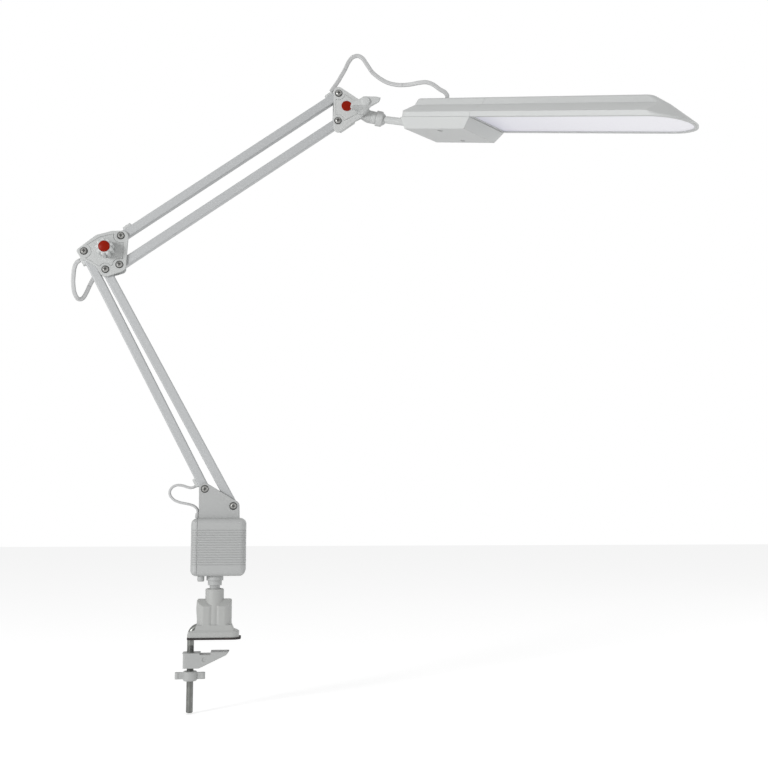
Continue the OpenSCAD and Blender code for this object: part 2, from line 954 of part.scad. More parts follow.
module upper_arm_a_ends() {
  on_arm(pivot_s2, pivot_u1)
    arm_ends(upper_arm_l, 0);
}

module upper_arm_b() {
  on_arm(pivot_s3, pivot_u2)
    arm_tube(upper_arm_l, [], 1, open_play);
}

module upper_arm_b_ends() {
  on_arm(pivot_s3, pivot_u2)
    arm_ends(upper_arm_l, open_play);
}

module upper_arm_grommets() {
  on_arm(pivot_s2, pivot_u1)
    grommets(upper_slots, 1);
}

module upper_arm_flex() {
  on_arm(pivot_s2, pivot_u1)
    inner_flex(upper_slots, 1);
}

// Corner centres of the elbow plates, as [x, z] from the first pivot
elbow_pts = [[-0.8, 0.5], [12, 10.4], [30, 18.6], [elbow_s2[0], elbow_s2[1] - 0.7],
  [elbow_s3[0] + 0.5, elbow_s3[1] - 2.6], [elbow_s4[0] + 0.2, elbow_s4[1] - 1.9], [23.5, -10.2]];
rear_elbow_r = 6.2;
land_h = 0.35;

// A raised, rimmed plate: its flat, its raised face and round lands at the screws
module moulded_plate(pts, r, lands, land_d) {
  front_plate(-gap_half - plate_t, plate_t)
    round_outline(pts, r);
  front_plate(-plate_face + land_h, face_h - land_h + 0.1)
    round_outline(pts, r - rim_w);
  intersection() {
    for (p = lands)
      at_pivot(p, -plate_face)
        cylinder(d = land_d, h = face_h + 0.5);
    front_plate(-plate_face - 1, plate_t)
      round_outline(pts, r - 0.3);
  }
}

module plate_holes(list, stack) {
  for (p = list)
    at_pivot(p, -stack)
      cylinder(d = pivot_d + 2 * fit_gap, h = 2 * stack);
}

elbow_list = [[0, 0], elbow_s4, elbow_s2, elbow_s3];
web_way = (elbow_pts[2] - elbow_pts[1]) / span_of(elbow_pts[1], elbow_pts[2]);

module elbow_plate(r) {
  difference() {
    union() {
      moulded_plate(elbow_pts, r, elbow_list, 14.5);
      at_pivot(knob_at, -plate_face)
        cylinder(d = bolt_d + 10, h = 1);
      at_pivot(knob_at, -gap_half - 0.1)
        cylinder(d = bolt_d + 6, h = gap_half - 0.05);
    }
    plate_holes(elbow_list, 30);
    at_pivot(knob_at, -30)
      cylinder(d = bolt_d + 2 * fit_gap, h = 60);
  }
}

module elbow_front() {
  color(grey)
    translate([pivot_s1[0], 0, pivot_s1[1]])
      elbow_plate(elbow_r);
}

module elbow_rear() {
  color(grey)
    translate([pivot_s1[0], 0, pivot_s1[1]]) {
      mirror([0, 1, 0])
        elbow_plate(rear_elbow_r);
      front_plate(gap_half, plate_t)
        bar(elbow_pts[1], elbow_pts[2], elbow_r);
      front_plate(-gap_half + 0.2, 2 * gap_half)
        difference() {
          bar(elbow_pts[1], elbow_pts[2], elbow_r);
          bar(elbow_pts[1] - 30 * web_way, elbow_pts[2] + 30 * web_way, elbow_r - 2);
          translate([-60, -25])
            square([70, 40]);
          translate([12, -30])
            rotate(heading(elbow_pts[1], elbow_pts[2]))
              square([60, 40.5]);
        }
    }
}

module elbow_screws() {
  color(steel)
    for (p = [pivot_s1, pivot_s4, pivot_s2, pivot_s3])
      at_pivot(p, -plate_face)
        through_screw(plate_stack);
}

module elbow_nuts() {
  color(steel)
    for (p = [pivot_s1, pivot_s4, pivot_s2, pivot_s3])
      at_pivot(p, -plate_face)
        back_nut(plate_stack);
}

bolt_head_h = 3.4;
thread_l = 12;

// Round-headed bolt from the back, through both plates
module back_bolt(thread) {
  translate([0, 0, 2 * plate_face + bolt_head_h])
    rotate([0, 180, 0]) {
      intersection() {
        translate([0, 0, bolt_d * 1.2])
          sphere(r = bolt_d * 1.2);
        cylinder(d = bolt_d * 2, h = bolt_head_h);
      }
      cylinder(d = bolt_d, h = bolt_head_h + 2 * plate_face + thread);
    }
}

module tension_bolt() {
  color(steel)
    at_pivot(knob_pos, -plate_face)
      back_bolt(thread_l);
}

// Fluted knob on the tension bolt
module tension_knob() {
  lobe = knob_d * 0.12;
  ring = knob_d / 2 - lobe;
  color(grey)
    at_pivot(knob_pos, -plate_face - 0.3)
      mirror([0, 0, 1])
        difference() {
          union() {
            cylinder(r = ring, h = knob_h - 1.5);
            translate([0, 0, knob_h - 1.5])
              cylinder(r1 = ring, r2 = ring - 1.5, h = 1.5);
            for (i = [0:knob_lobes - 1])
              rotate((i + 0.5) * 360 / knob_lobes)
                translate([ring, 0, 0]) {
                  cylinder(r = lobe, h = knob_h - 2.5, $fn = 24);
                  translate([0, 0, knob_h - 2.5])
                    cylinder(r1 = lobe, r2 = lobe - 1.2, h = 1.2, $fn = 24);
                }
          }
          translate([0, 0, -1])
            cylinder(r = bolt_d / 2 + run_gap, h = thread_l + 1.6);
          translate([0, 0, knob_h - cap_seat])
            cylinder(d = cap_d + 2 * fit_gap, h = 10);
        }
}

cap_seat = 2.4;
cap_dome = 1.4;

// Shallow domed cap, seated in a recess
module domed_cap(d) {
  rise = (d * d / 4 + cap_dome * cap_dome) / (2 * cap_dome);
  cylinder(d = d, h = cap_seat);
  intersection() {
    translate([0, 0, cap_seat + cap_dome - rise])
      sphere(r = rise);
    translate([0, 0, cap_seat - 0.2])
      cylinder(d = d, h = cap_dome + 0.4);
  }
}

module knob_cap() {
  color(red)
    at_pivot(knob_pos, -plate_face - 0.3 - knob_h + cap_seat)
      mirror([0, 0, 1])
        domed_cap(cap_d);
}

// Head bracket plates
bracket_pts = [[0, -0.2], low_corner, wing_at];
bracket_u2 = pivot_u2 - pivot_u1;
rear_bracket_pts = [[0, -0.2], bracket_u2 - [0, 0.6], wing_at];
rear_bracket_r = 6.5;
bracket_cap_d = 14;

module bracket_plate(pts, r) {
  difference() {
    union() {
      moulded_plate(pts, r, [[0, 0], bracket_u2], 14);
      at_pivot(wing_at, -plate_face)
        cylinder(d = bolt_d + 8, h = 1);
      at_pivot(cap_at, -gap_half - 0.1)
        cylinder(d = 9, h = gap_half - 0.05);
    }
    plate_holes([[0, 0], bracket_u2], 30);
    at_pivot(wing_at, -30)
      cylinder(d = bolt_d + 2 * fit_gap, h = 60);
    at_pivot(cap_at, -plate_face - 1)
      cylinder(d = bracket_cap_d + 2 * fit_gap, h = 2.6);
  }
}

module at_bracket() {
  translate([pivot_u1[0], 0, pivot_u1[1]])
    children();
}

module bracket_front() {
  color(grey)
    at_bracket()
      bracket_plate(bracket_pts, bracket_r);
}

module bracket_rear() {
  color(grey)
    at_bracket()
      mirror([0, 1, 0])
        bracket_plate(rear_bracket_pts, rear_bracket_r);
}

module bracket_screws() {
  color(steel)
    for (p = [pivot_u1, pivot_u2])
      at_pivot(p, -plate_face)
        through_screw(plate_stack);
}

module bracket_nuts() {
  color(steel)
    for (p = [pivot_u1, pivot_u2])
      at_pivot(p, -plate_face)
        back_nut(plate_stack);
}

module bracket_cap() {
  color(red)
    for (side = [0, 1])
      mirror([0, side, 0])
        at_pivot(cap_pos, -plate_face + 1.6)
          mirror([0, 0, 1])
            intersection() {
              domed_cap(bracket_cap_d);
              cylinder(d = bracket_cap_d, h = 2.6);
            }
}

module wing_bolt() {
  color(steel)
    at_pivot(wing_pos, -plate_face)
      back_bolt(thread_l + 8);
}

// Wing knob: a tapered hub with two wings
module wing_knob() {
  base_d = wing_hub_d * 1.42;
  color(grey)
    at_pivot(wing_pos, -plate_face - 0.7)
      mirror([0, 0, 1])
        difference() {
          union() {
            cylinder(d1 = base_d, d2 = wing_hub_d, h = wing_l - 1);
            translate([0, 0, wing_l - 1])
              cylinder(d1 = wing_hub_d, d2 = wing_hub_d - 2, h = 1);
            rotate(-wing_turn)
              rotate([90, 0, 0])
                linear_extrude(wing_t, center = true)
                  polygon([[-wing_span / 2, wing_l - 1.6], [-wing_span / 2 + 1, wing_l - 0.6],
                    [wing_span / 2 - 1, wing_l - 0.6], [wing_span / 2, wing_l - 1.6],
                    [wing_span / 2, wing_l - 9], [base_d / 2, 4], [-base_d / 2, 4],
                    [-wing_span / 2, wing_l - 9]]);
          }
          translate([0, 0, -1])
            cylinder(r = bolt_d / 2 + run_gap, h = thread_l + 9.3);
        }
}

// Friction washers beside the tongue
module tilt_washers() {
  color(nylon)
    for (side = [-1, 1])
      at_pivot(wing_pos, side > 0 ? gap_half - washer_t - 0.05 : -gap_half + 0.05)
        difference() {
          cylinder(r = tongue_h / 2, h = washer_t);
          translate([0, 0, -1])
            cylinder(d = bolt_d + 2 * fit_gap, h = 3);
        }
}

// Side outline of the tongue and its eye
module tongue_outline() {
  translate(wing_pos)
    circle(r = tongue_h / 2 + 1);
  bar(wing_pos, wing_pos + 10 * [cos(tongue_droop), -sin(tongue_droop)] - [0, ball_drop], tongue_h / 2);
  translate(ball_pos)
    rotate(-tongue_droop)
      translate([-ball_back + 9, -tongue_h / 2])
        square([ball_back - 9 - neck_back, tongue_h]);
}

neck_back = 11.6;
step_r = socket_d / 2 - 1.9;

// Tongue and socket, whole; the two halves are cut from it
module joint_form() {
  difference() {
    union() {
      front_plate(-tongue_half, 2 * tongue_half)
        tongue_outline();
      at_ball()
        rotate([0, tongue_droop + 90, 0])
          rotate_extrude()
            polygon([[0, -neck_back - 2], [tongue_half, -neck_back - 2], [step_r - 0.5, -neck_back + 0.2],
              [step_r, -neck_back + 0.7], [step_r, -7.2], [step_r - 0.4, -6.8], [step_r - 0.4, -6.2],
              [socket_d / 2 - 0.5, -6], [socket_d / 2, -5.5], [socket_d / 2, 1.4], [socket_d / 2 - 0.7, lip_reach],
              [0, lip_reach]]);
    }
    at_ball()
      sphere(r = ball_r + ball_gap);
    at_pivot(wing_pos, -20)
      cylinder(r = bolt_d / 2 + run_gap, h = 40);
  }
}

module joint_front() {
  color(grey)
    intersection() {
      joint_form();
      translate([0, -100.1, 0])
        cube([600, 100, 1500]);
    }
}

module joint_rear() {
  color(grey)
    intersection() {
      joint_form();
      translate([0, 0.1, 0])
        cube([600, 100, 1500]);
    }
}

// The rod's frame: +Z along the rod, from the middle of the ball
module along_stem() {
  at_ball()
    rotate([0, 90 + stem_droop, -head_yaw])
      children();
}

stem_in = 4;

module swivel_ball() {
  color(grey)
    difference() {
      at_ball()
        sphere(r = ball_r);
      along_stem()
        translate([0, 0, -stem_in])
          cylinder(r = stem_neck / 2 + run_gap, h = ball_d);
    }
}

// Rod from the ball into the head, with a flat anchor at its end
module head_rod() {
  color(steel)
    along_stem() {
      translate([0, 0, -stem_in + 0.2])
        cylinder(d = stem_neck, h = stem_in + 9.6);
      translate([0, 0, 9.7])
        cylinder(d1 = stem_neck, d2 = stem_d, h = 2);
      translate([0, 0, 11.6])
        cylinder(d = stem_d, h = stem_l + 14 - 11.6);
      translate([-6, -9, stem_l + 10])
        cube([12, 18, 16]);
    }
}

// Cross-section of the head above the rim plane, as (y, z), shrunk by g
module head_section(g) {
  half = head_half - g;
  knee = [head_half - roof_half - 3.4, shoulder_h - rim_h];
  polygon([[-half, 0], [-half, rim_h - g * 0.3], [-half + knee[0], shoulder_h - g * 1.1],
    [-roof_half + g, roof_h - g - 2], [-roof_half + 2.5 + g * 0.6, roof_h - g], [roof_half - 2.5 - g * 0.6, roof_h - g],
    [roof_half - g, roof_h - g - 2], [half - knee[0], shoulder_h - g * 1.1], [half, rim_h - g * 0.3], [half, 0]]);
}

// Side outline of the rear housing, as (x, z)
module rear_side(g) {
  polygon([[g, -0.01], [g, rim_h], [4 + g, roof_h - 1 - g], [5.5 + g, roof_h], [rear_l + 1, roof_h], [rear_l + 1, -0.01]]);
}

module rear_form(g) {
  intersection() {
    rotate([90, 0, 90])
      linear_extrude(rear_l)
        head_section(g);
    rotate([90, 0, 0])
      linear_extrude(head_w + 2, center = true)
        rear_side(g);
    linear_extrude(60)
      translate([60, 0])
        round_rect(120 - 2 * g, head_w - 2 * g, 7);
  }
}

module stem_hole() {
  along_stem()
    translate([0, 0, stem_l - 12])
      cylinder(d = stem_d + 2 * fit_gap, h = 20);
}

grommet_at = [38, 2];
grommet_bore = 7;

module rear_housing() {
  color(grey)
    difference() {
      at_head()
        difference() {
          rear_form(0);
          difference() {
            translate([0, 0, -0.01])
              rear_form(head_wall);
            for (side = [-1, 1])
              translate([cover_screw_at[0], side * cover_screw_at[1], -1])
                cylinder(d = 8, h = 40);
          }
          for (side = [-1, 1])
            translate([cover_screw_at[0], side * cover_screw_at[1], -1])
              cylinder(d = 3 + 2 * fit_gap, h = 10);
          translate([rear_l - head_wall - 8, 0, 0])
            rotate([90, 0, 90])
              linear_extrude(20)
                head_section(head_wall);
          translate([grommet_at[0], grommet_at[1], roof_h - 8])
            cylinder(d = grommet_bore + 2 * fit_gap, h = 20);
        }
      stem_hole();
    }
}

// Drafted tray under the rear housing, shrunk by g
module cover_form(g) {
  side = head_half - g;
  foot = head_half - cover_draft - g;
  low = -cover_h + g;
  intersection() {
    rotate([90, 0, 90])
      linear_extrude(rear_l + 10)
        polygon([[-side, 0], [-foot, low], [foot, low], [side, 0]]);
    rotate([90, 0, 0])
      linear_extrude(head_w + 2, center = true)
        polygon([[0.6 + g, 0], [6.4 + g, low], [rear_l - 9.3 - g, low], [rear_l - 0.1 - g, 0]]);
  }
}

cover_screw_at = [55, 28];

module lower_cover() {
  color(grey)
    difference() {
      at_head()
        difference() {
          union() {
            translate([0, 0, -0.1])
              cover_form(0);
            for (side = [-1, 1])
              translate([cover_screw_at[0], side * cover_screw_at[1], -cover_h + 0.5])
                cylinder(d = 10, h = cover_h - 1);
          }
          difference() {
            translate([0, 0, 0.01])
              cover_form(head_wall);
            for (side = [-1, 1])
              translate([cover_screw_at[0], side * cover_screw_at[1], -cover_h])
                cylinder(d = 10, h = cover_h);
          }
          for (side = [-1, 1])
            translate([cover_screw_at[0], side * cover_screw_at[1], -cover_h - 1]) {
              cylinder(d = 7, h = 4);
              cylinder(d = 3.4, h = cover_h + 2);
            }
        }
      stem_hole();
    }
}

module cover_screws() {
  color(steel)
    at_head()
      for (side = [-1, 1])
        translate([cover_screw_at[0], side * cover_screw_at[1], -cover_h + 3]) {
          pan_head(6.2, 1.8);
          cylinder(d = 3, h = cover_h + 3);
        }
}

// Plan of the shade: straight sides and a round nose, shrunk by g
module shade_plan(x0, g) {
  r = head_half - g;
  translate([x0, -r])
    square([head_l - head_half - x0, 2 * r]);
  translate([head_l - head_half, 0])
    circle(r = r, $fn = 48);
}

// Slab of the shade's loft at height z, ending at x1 with a rounded nose
module shade_slab(x0, x1, z, half, r) {
  translate([0, 0, z])
    linear_extrude(0.1) {
      translate([x0, -half])
        square([x1 - r - x0, 2 * half]);
      for (side = [-1, 1])
        translate([x1 - r, side * (half - r)])
          circle(r = r, $fn = 32);
      translate([x1 - r, -half + r])
        square([r, 2 * half - 2 * r]);
    }
}

// Upturned-boat form of the shade, shrunk by g
module shade_form(x0, g) {
  slope = nose_l / (roof_h - rim_h);
  knee_half = roof_half + 3.4 - g;
  knee_x = head_l - (shoulder_h - rim_h) * slope - g;
  knee_z = shoulder_h - g - 0.1;
  hull() {
    linear_extrude(nose_rim - g * 0.8)
      shade_plan(x0, g);
    linear_extrude(rim_h - g * 0.3)
      translate([x0, -head_half + g])
        square([head_l - head_half - x0, head_w - 2 * g]);
    shade_slab(x0, knee_x, knee_z, knee_half, 12);
  }
  hull() {
    shade_slab(x0, knee_x, knee_z, knee_half, 12);
    shade_slab(x0, nose_x + 4 - g, roof_h - g - 2, roof_half - g, 10);
    shade_slab(x0, nose_x - g, roof_h - g - 0.1, roof_half - 2.5 - g, 8);
  }
}

module shade() {
  x0 = rear_l + 0.2;
  color(grey)
    at_head()
      difference() {
        shade_form(x0, 0);
        translate([0, 0, lip_h])
          shade_form(x0 + head_wall, head_wall);
        translate([0, 0, -1])
          linear_extrude(lip_h + 1.2)
            shade_plan(x0 + head_wall, lip_w);
      }
}

window_x = rear_l + head_wall + 0.5;

module diffuser() {
  color([0.97, 0.97, 1])
    at_head()
      translate([0, 0, lip_h + 0.1])
        linear_extrude(diffuser_t)
          shade_plan(window_x, head_wall + 1.6);
}

tray_z = lip_h + diffuser_t + 0.3;
tray_top = 15;

// Reflector tray over the diffuser
module tray_form(g) {
  hull() {
    translate([0, 0, tray_z])
      linear_extrude(0.2)
        shade_plan(window_x + 2 + g, head_wall + 3 + g);
    translate([0, 0, tray_top - g - 0.2])
      linear_extrude(0.2)
        translate([rear_l + 12 + g, -26 + g])
          square([head_l - rear_l - 62 - 2 * g, 52 - 2 * g]);
  }
}

module reflector() {
  color([0.98, 0.98, 0.98])
    at_head()
      difference() {
        tray_form(0);
        translate([0, 0, -0.5])
          tray_form(1);
      }
}

// Board with two rows of lamps, under the reflector's roof
module led_board() {
  l = head_l - rear_l - 80;
  z = tray_top - 3.2;
  color([0.9, 0.9, 0.85])
    at_head()
      translate([rear_l + 18, 0, z]) {
        translate([0, -20, 0])
          cube([l, 40, 1.6]);
        for (i = [0:11], side = [-1, 1])
          translate([8 + i * (l - 16) / 11 - 1.75, side * 10 - 1.4, -0.7])
            cube([3.5, 2.8, 0.8]);
      }
}

module head_grommet() {
  color(grey)
    at_head()
      translate([grommet_at[0], grommet_at[1], roof_h]) {
        translate([0, 0, 0.05])
          cylinder(d1 = grommet_bore + 3, d2 = grommet_bore, h = 2.2);
        translate([0, 0, -head_wall - 1])
          cylinder(d = grommet_bore, h = head_wall + 2);
      }
}

// Flex routes between the joints: [x, y, z] points chosen by hand, the first and last straight out
base_route = [[-23.4, 0, 159], [-24, 0, 164], [-29, 0, 168.5], [-37, 0, 171], [-45, 0, 172.5],
  [-53, 0, 175.5], [-58.5, 0, 181], [-59.5, 0, 187], [-56, 0, 192.5], [-50, 0, 195], [-43, 0, 194.4],
  [-37.5, 0, 192.6], [-32.8, 0, 191.6], [-29.6, 0, 192.2], [-27, 0, 193.6]];
elbow_route_a = [[-181.3, 0, 488.2], [-183.9, 0, 486.7], [-186.6, 0, 483.8], [-188.7, 0, 477], [-189.5, 0, 467],
  [-189.5, 0, 457], [-188, 3, 445.5], [-184, 7, 438.2], [-178.7, 10.5, 439.5], [-174.7, 14, 447.5],
  [-171.2, 16.5, 457.5]];
elbow_route_b = [[-171.2, 16.5, 457.5], [-166.5, 18, 468.5], [-161.7, 18, 480], [-156.5, 18, 492],
  [-151, 18, 503.5], [-145.5, 18, 512.5], [-139.5, 17.5, 519.5], [-133.3, 16.2, 525.6], [-127.8, 13.4, 531],
  [-123.9, 9.2, 534.8], [-122.8, 4.8, 535.6]];
head_route_a = [[145.9, 0, 729.6], [148.4, 0, 733.3], [151.8, 0, 738.3], [155.8, 0, 744.6], [160.2, 0, 752.6],
  [165, 0, 761.5]];
head_route_b = [[165, 0, 761.5], [169.5, 0, 771.5], [175, -1, 778.5], [182, -2, 780.5],
  [188.5, -4, 776.5], [194.5, -7, 766.5], [200.5, -10, 756]];
head_route_c = [[200.5, -10, 756], [206, -12, 749.8], [212.5, -15, 743.8], [221, -19, 737.6],
  [231, -24, 733.2], [241, -29, 731]];
head_route_d = [[241, -29, 731], [251, -34, 730.4], [261, -40, 730.6], [270, -46, 729.5],
  [278.5, -53, 724], [286, -60, 715.2], [291.9, -65.7, 709.2], [294.9, -68.8, 703.2], [294.4, -68.2, 699.3]];

// Flat flex swept along a route, one ring of eight points at each route point. Two stretches that
// meet share the plane of their last rings: before and after are the neighbours' nearest points
function unit(v) = v / max(norm(v), 0.001);
function way(r, i, before, after) = unit((i < len(r) - 1 ? r[i + 1] : after) - (i > 0 ? r[i - 1] : before));
function second(r) = r[1];
function last_but_one(r) = r[len(r) - 2];
function across(t) = unit(cross(t, [0.02, 1, 0.03]));
function ring_at(p, t, w, h) = [for (k = [0:7])
  p + across(t) * h / 2 * cos(k * 45 + 22.5) / cos(22.5) + unit(cross(across(t), t)) * w / 2 * sin(k * 45 + 22.5) / cos(22.5)];

module flex_run(r, w, h, before, after) {
  n = len(r);
  pull = [for (i = [0:n - 1]) i == 0 ? flex_gap : i == n - 1 ? -flex_gap : 0];
  ways = [for (i = [0:n - 1]) way(r, i, before, after)];
  pts = [for (i = [0:n - 1]) each ring_at(r[i] + pull[i] * ways[i], ways[i], w, h)];
  sides = [for (i = [0:n - 2], k = [0:7], half = [0, 1])
    half == 0
      ? [i * 8 + k, i * 8 + (k + 1) % 8, i * 8 + 8 + (k + 1) % 8]
      : [i * 8 + k, i * 8 + 8 + (k + 1) % 8, i * 8 + 8 + k]];
  start = [for (k = [1:6]) [0, k + 1, k]];
  end = [for (k = [1:6]) [n * 8 - 8, n * 8 - 8 + k, n * 8 - 7 + k]];
  color(grey)
    polyhedron(pts, concat(sides, start, end));
}

flex_gap = 0.05;

module base_loop() {
  flex_run(base_route, flex_w, flex_t, base_route[0], base_route[len(base_route) - 1]);
}

module elbow_loop_a() {
  flex_run(elbow_route_a, flex_t, flex_w, elbow_route_a[0], second(elbow_route_b));
}

module elbow_loop_b() {
  flex_run(elbow_route_b, flex_t, flex_w, last_but_one(elbow_route_a), elbow_route_b[len(elbow_route_b) - 1]);
}

module head_loop_a() {
  flex_run(head_route_a, flex_t, flex_w, head_route_a[0], second(head_route_b));
}

module head_loop_b() {
  flex_run(head_route_b, flex_t, flex_w, last_but_one(head_route_a), second(head_route_c));
}

module head_loop_c() {
  flex_run(head_route_c, flex_t, flex_w, last_but_one(head_route_b), second(head_route_d));
}

module head_loop_d() {
  flex_run(head_route_d, flex_t, flex_w, last_but_one(head_route_c), head_route_d[len(head_route_d) - 1]);
}

clamp_base();
clamp_pad();
clamp_rod();
swivel_bush();
jaw();
wing_nut();
swivel_post();
housing_front();
housing_rear();
driver_board();
cord_gland();
flex_outlet();
base_screws();
base_nuts();
lower_arm_a();
lower_arm_a_ends();
lower_arm_b();
lower_arm_b_ends();
lower_arm_grommets();
lower_arm_flex();
elbow_front();
elbow_rear();
elbow_screws();
elbow_nuts();
tension_bolt();
tension_knob();
knob_cap();
upper_arm_a();
upper_arm_a_ends();
upper_arm_b();
upper_arm_b_ends();
upper_arm_grommets();
upper_arm_flex();
bracket_front();
bracket_rear();
bracket_screws();
bracket_nuts();
bracket_cap();
wing_bolt();
wing_knob();
tilt_washers();
joint_front();
joint_rear();
swivel_ball();
head_rod();
rear_housing();
lower_cover();
cover_screws();
shade();
reflector();
led_board();
diffuser();
head_grommet();
base_loop();
elbow_loop_a();
elbow_loop_b();
head_loop_a();
head_loop_b();
head_loop_c();
head_loop_d();
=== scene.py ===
import json
import math
import bmesh
import bpy
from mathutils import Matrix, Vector
from mathutils.geometry import tessellate_polygon


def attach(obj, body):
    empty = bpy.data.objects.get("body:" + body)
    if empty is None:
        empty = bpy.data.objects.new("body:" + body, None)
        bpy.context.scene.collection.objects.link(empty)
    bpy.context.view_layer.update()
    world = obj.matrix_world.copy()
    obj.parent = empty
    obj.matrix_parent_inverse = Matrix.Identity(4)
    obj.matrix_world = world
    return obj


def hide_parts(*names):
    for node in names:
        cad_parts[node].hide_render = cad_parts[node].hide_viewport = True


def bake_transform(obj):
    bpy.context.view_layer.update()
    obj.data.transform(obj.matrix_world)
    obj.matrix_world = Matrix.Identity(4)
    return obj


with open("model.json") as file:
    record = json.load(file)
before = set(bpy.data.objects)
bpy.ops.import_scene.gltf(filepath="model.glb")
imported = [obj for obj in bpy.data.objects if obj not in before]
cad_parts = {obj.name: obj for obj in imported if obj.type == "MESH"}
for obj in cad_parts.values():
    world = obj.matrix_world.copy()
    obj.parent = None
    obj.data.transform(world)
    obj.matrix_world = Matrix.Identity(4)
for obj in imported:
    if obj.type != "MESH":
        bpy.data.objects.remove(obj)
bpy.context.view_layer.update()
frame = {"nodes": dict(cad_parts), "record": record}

scene = bpy.context.scene


# Camera, as the photograph was taken

view = {"place": (0.0723, -1.4664, 0.1681), "pitch": 96.25, "turn": -5.69, "lens": 52.27}

cameraData = bpy.data.cameras.new("camera")
cameraData.sensor_width = 36
cameraData.lens = view["lens"]
camera = bpy.data.objects.new("camera", cameraData)
camera.location = view["place"]
camera.rotation_euler = (math.radians(view["pitch"]), 0, math.radians(view["turn"]))
scene.collection.objects.link(camera)
scene.camera = camera
scene.view_settings.view_transform = "Standard"
print("camera placed")


# Flat twin flex, in one stretch for each joint that it crosses

flex = {
    "wide": 5.6, "thin": 3.6, "groove": 0.35, "step": 1.6, "sides": 24, "squareness": 0.35, "valley": 0.55,
    "across": (0.02, 1, 0.03),  # close to the arms' hinge direction, and never along the flex
    "base": [(-23.4, 0, 159), (-24, 0, 164), (-29, 0, 168.5), (-37, 0, 171), (-45, 0, 172.5),
             (-53, 0, 175.5), (-58.5, 0, 181), (-59.5, 0, 187), (-56, 0, 192.5), (-50, 0, 195),
             (-43, 0, 194.4), (-37.5, 0, 192.6), (-32.8, 0, 191.6), (-29.6, 0, 192.2), (-27, 0, 193.6)],
    "elbowLow": [(-181.3, 0, 488.2), (-183.9, 0, 486.7), (-186.6, 0, 483.8), (-188.7, 0, 477),
                 (-189.5, 0, 467), (-189.5, 0, 457), (-188, 3, 445.5), (-184, 7, 438.2),
                 (-178.7, 10.5, 439.5), (-174.7, 14, 447.5), (-171.2, 16.5, 457.5)],
    "elbowTurn": [(-171.2, 8.6, 457.5), (-171.2, 16.5, 457.5)],  # only where it's clear of arm B
    "elbowHigh": [(-171.2, 16.5, 457.5), (-166.5, 18, 468.5), (-161.7, 18, 480), (-156.5, 18, 492),
                  (-151, 18, 503.5), (-145.5, 18, 512.5), (-139.5, 17.5, 519.5), (-133.3, 16.2, 525.6),
                  (-127.8, 13.4, 531), (-123.9, 9.2, 534.8), (-122.8, 4.8, 535.6)],
    "headA": [(145.9, 0, 729.6), (148.4, 0, 733.3), (151.8, 0, 738.3), (155.8, 0, 744.6), (160.2, 0, 752.6),
              (165, 0, 761.5)],
    "headB": [(165, 0, 761.5), (169.5, 0, 771.5), (175, -1, 778.5), (182, -2, 780.5),
              (188.5, -4, 776.5), (194.5, -7, 766.5), (200.5, -10, 756)],
    "headC": [(200.5, -10, 756), (206, -12, 749.8), (212.5, -15, 743.8), (221, -19, 737.6),
              (231, -24, 733.2), (241, -29, 731)],
    "headD": [(241, -29, 731), (251, -34, 730.4), (261, -40, 730.6), (270, -46, 729.5),
              (278.5, -53, 724), (286, -60, 715.2), (291.9, -65.7, 709.2), (294.9, -68.8, 703.2),
              (294.4, -68.2, 699.3)],
}


def smoothLine(points, before, after, step):
    # one smooth curve through the points, with the neighbours' ends giving its first and last slope
    full = [before] + points + [after]
    line = []
    for i in range(1, len(full) - 2):
        a, b, c, d = (Vector(p) for p in full[i - 1:i + 3])
        count = max(2, round((c - b).length / step))
        for j in range(count):
            t = j / count
            line.append(0.5 * ((2 * b) + (c - a) * t + (2 * a - 5 * b + 4 * c - d) * t * t
                               + (3 * b - a - 3 * c + d) * t ** 3))
    line.append(Vector(points[-1]))
    return line


def beyond(points, last):
    # a point that carries the line straight on past its end
    p = [Vector(q) for q in points]
    return p[-1] * 2 - p[-2] if last else p[0] * 2 - p[1]


def flexProfile():
    # two round cores side by side with a shallow valley between them
    halfWide, halfThin = flex["wide"] / 2, flex["thin"] / 2
    ring = []
    for i in range(flex["sides"]):
        angle = 2 * math.pi * i / flex["sides"]
        x, rise = math.cos(angle) * halfWide, math.sin(angle)
        fullness = abs(rise) ** -flex["squareness"] if abs(rise) > 0.05 else 1
        y = max(-halfThin, min(halfThin, rise * halfThin * fullness))
        y *= 1 - flex["groove"] / halfThin * math.exp(-(x / flex["valley"]) ** 2)
        ring.append((x, y))
    return ring


def joinRings(mesh, a, b):
    # a closed band of faces between two rings with the same number of points
    for i in range(len(a)):
        j = (i + 1) % len(a)
        mesh.faces.new((a[i], a[j], b[j], b[i]))


def sweepFlex(name, line, wideAcross):
    # wideAcross: the wide side lies across the arms' plane, otherwise in it
    mesh = bmesh.new()
    profile = flexProfile()
    rings = []
    for i, p in enumerate(line):
        along = (line[min(i + 1, len(line) - 1)] - line[max(i - 1, 0)]).normalized()
        inPlane = along.cross(Vector(flex["across"])).normalized()
        outward = inPlane.cross(along).normalized()
        wideWay, thinWay = (outward, inPlane) if wideAcross else (inPlane, outward)
        rings.append([mesh.verts.new((p + wideWay * x + thinWay * y) * 0.001) for x, y in profile])
    for a, b in zip(rings, rings[1:]):
        joinRings(mesh, a, b)
    mesh.faces.new(list(reversed(rings[0])))
    mesh.faces.new(rings[-1])
    bmesh.ops.recalc_face_normals(mesh, faces=mesh.faces)
    return finishMesh(name, mesh, True)


def finishMesh(name, mesh, smooth):
    data = bpy.data.meshes.new(name)
    mesh.to_mesh(data)
    mesh.free()
    for face in data.polygons:
        face.use_smooth = smooth
    thing = bpy.data.objects.new(name, data)
    scene.collection.objects.link(thing)
    return thing


def lineLength(line):
    return sum((b - a).length for a, b in zip(line, line[1:])) * 0.001


flexPieces = []


